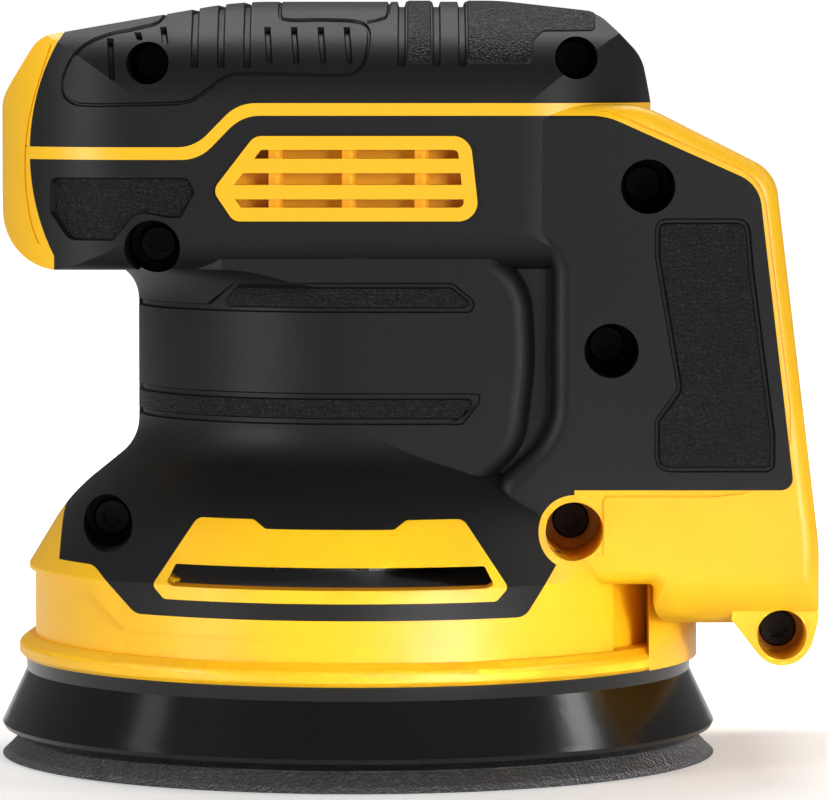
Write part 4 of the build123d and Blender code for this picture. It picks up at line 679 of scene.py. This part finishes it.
# %% [markdown]
# ## The yellow halves
# Two nylon halves carry everything. Where the rubber lines the mouths of the deep screw wells it
# runs down inside them, so those wells look black, while the two wells in bare nylon stay
# yellow. The lining is no thicker than a coat, so it is given as a finish to the wells' faces.
# All round the rubber the nylon has a fine step, left by the tool that the rubber was shot into;
# it is pressed in as a ring between two outlines.

# %% Wells and the fine step round the rubber
WELLS = [(-35.0, 120.5, 3.6), (-34.2, 89.5, 4.7), (-42.3, 42.3, 4.5), (37.1, 121.4, 3.6),
         (49.1, 99.8, 4.6), (43.0, 72.2, 4.6)]
BLOCK_EDGE = [(20, 112.5), (42, 112.5), (68.1, 101.0), (74.6, 47.9), (41.4, 47.9), (41.4, 38),
              (20, 38)]
EDGE_RADII = [0, 0.008, 0.008, 0.0128, 0.0012, 0, 0]
STEP_INNER = arc_corners(mm(BLOCK_EDGE), EDGE_RADII)
STEP_WIDTH = 0.00035
STEP_DEPTH = 0.00025
STEP_OUTER = shrunk(STEP_INNER, -STEP_WIDTH)
STEP_FRONT_X = 0.0405
STEP_SIDE_Y = 0.0335
WELL_LINING = 0.25
WELL_FLOOR_Y = -0.0138


def in_well(polygon):
    """True for a face inside one of the rubber-lined wells of the left flank."""
    spot = polygon.center
    return any(math.hypot(spot.x - x * MM, spot.z - z * MM) < (radius + WELL_LINING) * MM
               and spot.y < WELL_FLOOR_Y for x, z, radius in WELLS)


for side, name in ((-1, "left"), (1, "right")):
    half = shell_from(f"housing_{name}", f"nylon_half_{name}")
    score(half, [STEP_INNER], side * 0.100, side * 0.033)
    score(half, [STEP_OUTER], side * 0.100, side * 0.033)
    at = flank(side)
    stepped = press(half, STEP_OUTER, STEP_DEPTH, lambda polygon: at(polygon) and not inside(
        STEP_INNER, polygon.center.x, polygon.center.z) and polygon.center.x > STEP_FRONT_X
        and abs(polygon.center.y) > STEP_SIDE_Y, slope=0.0001)
    lined = choose(half, lambda polygon, index: in_well(polygon))
    for polygon in half.data.polygons:
        polygon.material_index = 1 if polygon.select else 0
    print("step faces", stepped, "well faces", lined)
    finish_shell(half, [YELLOW, RUBBER], f"housing_{name}")

# %% [markdown]
# ## Nose bezels
# The two yellow bezels wrap the nose, and a bead line runs inside their back edge, where the
# bezel's outer face ends and its flange dives under the rubber. The line is an arc through three
# places, pressed through both bezels.

# %% Bead line of the nose
BEAD = [(-51.4, 123.6), (-53.1, 118.9), (-54.9, 113.2), (-55.9, 108.0), (-56.2, 103.0),
        (-55.9, 98.0), (-55.0, 93.2), (-53.7, 90.0)]
BEAD_WIDTH = 0.00035
BEAD_DEPTH = 0.0003
NOSE_FRONT_Y = 0.0125
bead_line = stroke(flowing(mm(BEAD)), BEAD_WIDTH)
for part in ("upper", "lower"):
    bezel = shell_from(f"nose_bezel_{part}", f"yellow_bezel_{part}")
    score(bezel, [bead_line], -0.100, -0.012)
    score(bezel, [bead_line], 0.012, 0.100)
    print("bead", press(bezel, bead_line, BEAD_DEPTH, lambda polygon: outward(polygon)
                        and abs(polygon.center.y) > NOSE_FRONT_Y, slope=0.00003))
    finish_shell(bezel, [YELLOW], f"nose_bezel_{part}")

# %% [markdown]
# ## Intake grilles
# Each grille is one moulding: three rows of slots in a rounded frame, with posts that stand back
# behind the bars so that the bars read as unbroken lines. The posts are pressed back between the
# bars. Inside, a baffle closes the view into the motor and glows brown in the shade of the slots.

# %% Grilles and their baffles
POST_HALF = 1.2
POST_DEPTH = 0.0010
POSTS = [[(x - POST_HALF, low), (x + POST_HALF, low), (x + POST_HALF, high),
          (x - POST_HALF, high)]
         for x in (-13.4, -1.1, 11.1) for low, high in (
             (96.35, 97.7), (100.15, 102.05), (104.55, 105.95))]
BAFFLE_SIZE = (0.0445, 0.0008, 0.0122)
BAFFLE_PLACE = (-0.0015, 0.0350, 0.1011)
for side, name in ((-1, "left"), (1, "right")):
    grille = shell_from(f"intake_grille_{name}", f"yellow_grille_{name}")
    cuts = [mm(post) for post in POSTS]
    score(grille, cuts, side * 0.100, side * 0.0395)
    for cut in cuts:
        press(grille, cut, POST_DEPTH, lambda polygon: polygon.normal.y * side > 0.9
              and abs(polygon.center.y) > 0.040, slope=0.00002)
    finish_shell(grille, [YELLOW], f"intake_grille_{name}")
    deselect()
    bpy.ops.mesh.primitive_cube_add(size=1.0, location=(0, 0, 0))
    baffle = bpy.context.object
    baffle.name = f"grille_baffle_{name}"
    for vertex in baffle.data.vertices:
        x, y, z = (share * size for share, size in zip(vertex.co, BAFFLE_SIZE))
        vertex.co = (x + BAFFLE_PLACE[0], y + side * BAFFLE_PLACE[1], z + BAFFLE_PLACE[2])
    baffle.data.materials.append(YELLOW)
    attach(baffle, "housing")
print("grilles ready")

# %% [markdown]
# ## Case screws
# Long black screws with a six-lobed star socket hold the halves together, each at the bottom of
# its well. One is modelled: a disc is inset to a ring, the inner ring is drawn to the star's
# lobes and sunk, and the outer edge is extruded down to the head and the shank. The others are
# copies of it, each with a mesh of its own.

# %% One star-socket screw
HEAD_R, HEAD_H, SHANK_R, SHANK_L = 3.15 * MM, 2.2 * MM, 1.9 * MM, 28 * MM
STAR_MEAN, STAR_LOBE, STAR_DEPTH = 1.55 * MM, 0.24 * MM, 1.3 * MM
SIDES = 48
EDGE = 0.3 * MM            # bevel of the head's rim
TIP = 1.0 * MM
SEAT, LUG_SEAT = 14.0, 23.0


def star_screw(name):
    """The top of a screw's head at y = 0, its axis along +Y, with a star socket sunk in it."""
    deselect()
    bpy.ops.mesh.primitive_circle_add(vertices=SIDES, radius=HEAD_R - EDGE, fill_type="NGON",
                                      rotation=(math.radians(90), 0, 0))
    made = bpy.context.object
    made.name = name
    bpy.ops.object.transform_apply(rotation=True)
    bpy.ops.object.mode_set(mode="EDIT")
    bpy.ops.mesh.select_mode(type="FACE")
    bpy.ops.mesh.select_all(action="SELECT")
    bpy.ops.mesh.inset(thickness=HEAD_R - EDGE - STAR_MEAN)
    bpy.ops.object.mode_set(mode="OBJECT")
    inner = [v for v in made.data.vertices if v.co.length < HEAD_R - 2 * EDGE]
    for vertex in inner:
        turn = math.atan2(vertex.co.z, vertex.co.x)
        reach = STAR_MEAN + STAR_LOBE * math.cos(6 * turn)
        vertex.co = (reach * math.cos(turn), 0, reach * math.sin(turn))
    bpy.ops.object.mode_set(mode="EDIT")
    bpy.ops.mesh.extrude_region_move(TRANSFORM_OT_translate={"value": (0, STAR_DEPTH, 0)})
    bpy.ops.object.mode_set(mode="OBJECT")
    return made


def rim_of(made, y):
    """Selects the open edge loop, ready to be extruded. The depth y is not used."""
    choose(made, lambda polygon, index: False)
    mesh = made.data
    uses = {}
    for polygon in mesh.polygons:
        for key in polygon.edge_keys:
            uses[key] = uses.get(key, 0) + 1
    for edge in mesh.edges:
        edge.select = uses.get(edge.key, 0) == 1
        for index in edge.vertices:
            if edge.select:
                mesh.vertices[index].select = True


def grow(made, steps):
    """Extrudes the open rim through steps of (depth along Y, radius factor)."""
    for depth, factor in steps:
        rim_of(made, depth)
        bpy.ops.object.mode_set(mode="EDIT")
        bpy.ops.mesh.select_mode(type="EDGE")
        bpy.ops.mesh.extrude_region_move(TRANSFORM_OT_translate={"value": (0, depth, 0)})
        bpy.ops.transform.resize(value=(factor, 1, factor), center_override=(0, 0, 0))
        bpy.ops.object.mode_set(mode="OBJECT")


first = star_screw("case_screw_1")
grow(first, [(EDGE, HEAD_R / (HEAD_R - EDGE)), (HEAD_H - EDGE, 1.0),
             (0.0, SHANK_R / HEAD_R), (SHANK_L - TIP, 1.0), (TIP, 0.55)])
rim_of(first, 0)
bpy.ops.object.mode_set(mode="EDIT")
bpy.ops.mesh.edge_face_add()
bpy.ops.mesh.select_all(action="SELECT")
bpy.ops.mesh.normals_make_consistent(inside=False)
bpy.ops.object.mode_set(mode="OBJECT")
bpy.ops.object.shade_smooth_by_angle(angle=math.radians(35))
first.data.materials.append(BLACK_STEEL)

# %% Every case screw at its seat
SEATS = [(x, z, SEAT) for x, z, _ in WELLS] + [(36.8, 41.8, SEAT), (72.0, 24.0, LUG_SEAT)]
screws = [first]
for number in range(2, len(SEATS) + 1):
    twin = first.copy()
    twin.data = first.data.copy()
    twin.name = f"case_screw_{number}"
    bpy.context.scene.collection.objects.link(twin)
    screws.append(twin)
for number, (screw, (x, z, seat)) in enumerate(zip(screws, SEATS)):
    turn = math.radians(17 * number)
    for vertex in screw.data.vertices:
        vx, vy, vz = vertex.co
        vertex.co = (vx * math.cos(turn) - vz * math.sin(turn) + x * MM, vy - seat * MM - HEAD_H,
                     vx * math.sin(turn) + vz * math.cos(turn) + z * MM)
    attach(screw, "housing")
    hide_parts("case_screws")
print("case screws", len(screws))

# %% [markdown]
# ## Light and floor
# A white table under soft lamps, as a catalogue studio has it: a key from either side, a top
# light, two strips that draw the highlights on the glossy skirt, and one small lamp with a grid
# that lifts only the yellow base near the table. The lamps are kept at a plain level, at which a
# colour renders about as it is written. The white of the background comes from what the camera,
# mirrors and glass see of the world and of the table beyond the object, and never from more
# light on the object itself.

# %% Lamps
def lamp(name, place, target, size, power, spread=180):
    """A soft rectangular lamp turned towards a place; a grid over it narrows its spread."""
    bpy.ops.object.light_add(type="AREA", location=place)
    made = bpy.context.object
    made.name = name
    made.data.shape = "RECTANGLE"
    made.data.size, made.data.size_y = size
    made.data.energy = power
    made.data.spread = math.radians(spread)
    made.rotation_euler = (Vector(target) - Vector(place)).to_track_quat("-Z", "Y").to_euler()
    return made


MIDDLE = (0.0, 0.0, 0.06)
BASE = (0.015, -0.05, 0.010)
lamp("low_key_right", (0.62, -1.10, 0.20), MIDDLE, (0.4, 0.5), 8.0)
lamp("low_key_left", (-0.95, -0.75, 0.28), MIDDLE, (0.3, 0.6), 6.5)
lamp("soft_top", (0.0, 0.40, 0.95), MIDDLE, (0.9, 0.4), 6.5)
lamp("gridded_base_lamp", (0.55, -0.95, 0.10), BASE, (0.14, 0.03), 0.022, 7)
lamp("strip_right", (1.00, -0.10, 0.80), MIDDLE, (0.2, 0.6), 2.0)
lamp("strip_left", (-1.00, -0.20, 0.75), MIDDLE, (0.2, 0.6), 0.4)
print("six lamps")

# %% White world
ROOM_LEVEL = 0.17
world = bpy.data.worlds.new("white_room")
bpy.context.scene.world = world
world.use_nodes = True
sky = world.node_tree
sky.nodes.clear()
ray = add(sky, "ShaderNodeLightPath")
seen = add(sky, "ShaderNodeMath", {"operation": "MAXIMUM"}, links={
    0: ray.outputs["Is Camera Ray"], 1: ray.outputs["Is Transmission Ray"]})
level = add(sky, "ShaderNodeMapRange", sockets={"To Min": ROOM_LEVEL, "To Max": 1.0},
            links={"Value": seen.outputs["Value"]})
white = add(sky, "ShaderNodeBackground", sockets={"Color": linear("#FFFFFF")},
            links={"Strength": level.outputs["Result"]})
add(sky, "ShaderNodeOutputWorld", links={"Surface": white.outputs["Background"]})

# %% White table
TABLE_SIZE, TABLE_DROP = 8, 0.0001
GLOW_FROM, GLOW_FULL = 0.07, 0.26
bpy.ops.mesh.primitive_plane_add(size=TABLE_SIZE, location=(0, 0, -TABLE_DROP))
floor = bpy.context.object
floor.name = "studio_floor"
paper, tree, shader, place = blank("matt_white_paper")
shader.inputs["Base Color"].default_value = linear("#F2F2F2")
shader.inputs["Roughness"].default_value = 0.9
shader.inputs["Specular IOR Level"].default_value = 0.1
reach = add(tree, "ShaderNodeVectorMath", {"operation": "LENGTH"}, links={0: place})
away = add(tree, "ShaderNodeMapRange", {"interpolation_type": "SMOOTHSTEP"},
           {"From Min": GLOW_FROM, "From Max": GLOW_FULL, "To Min": 0.3, "To Max": 1.0},
           {"Value": reach.outputs["Value"]})
ray = add(tree, "ShaderNodeLightPath")
camera_only = add(tree, "ShaderNodeMath", {"operation": "MULTIPLY"}, links={
    0: away.outputs["Result"], 1: ray.outputs["Is Camera Ray"]})
glow = add(tree, "ShaderNodeEmission", sockets={"Color": linear("#FFFFFF")},
           links={"Strength": camera_only.outputs["Value"]})
both = add(tree, "ShaderNodeAddShader", links={0: shader.outputs["BSDF"],
                                               1: glow.outputs["Emission"]})
tree.links.new(both.outputs["Shader"], next(
    n for n in tree.nodes if n.type == "OUTPUT_MATERIAL").inputs["Surface"])
floor.data.materials.append(paper)
bpy.context.scene.view_settings.view_transform = "Standard"
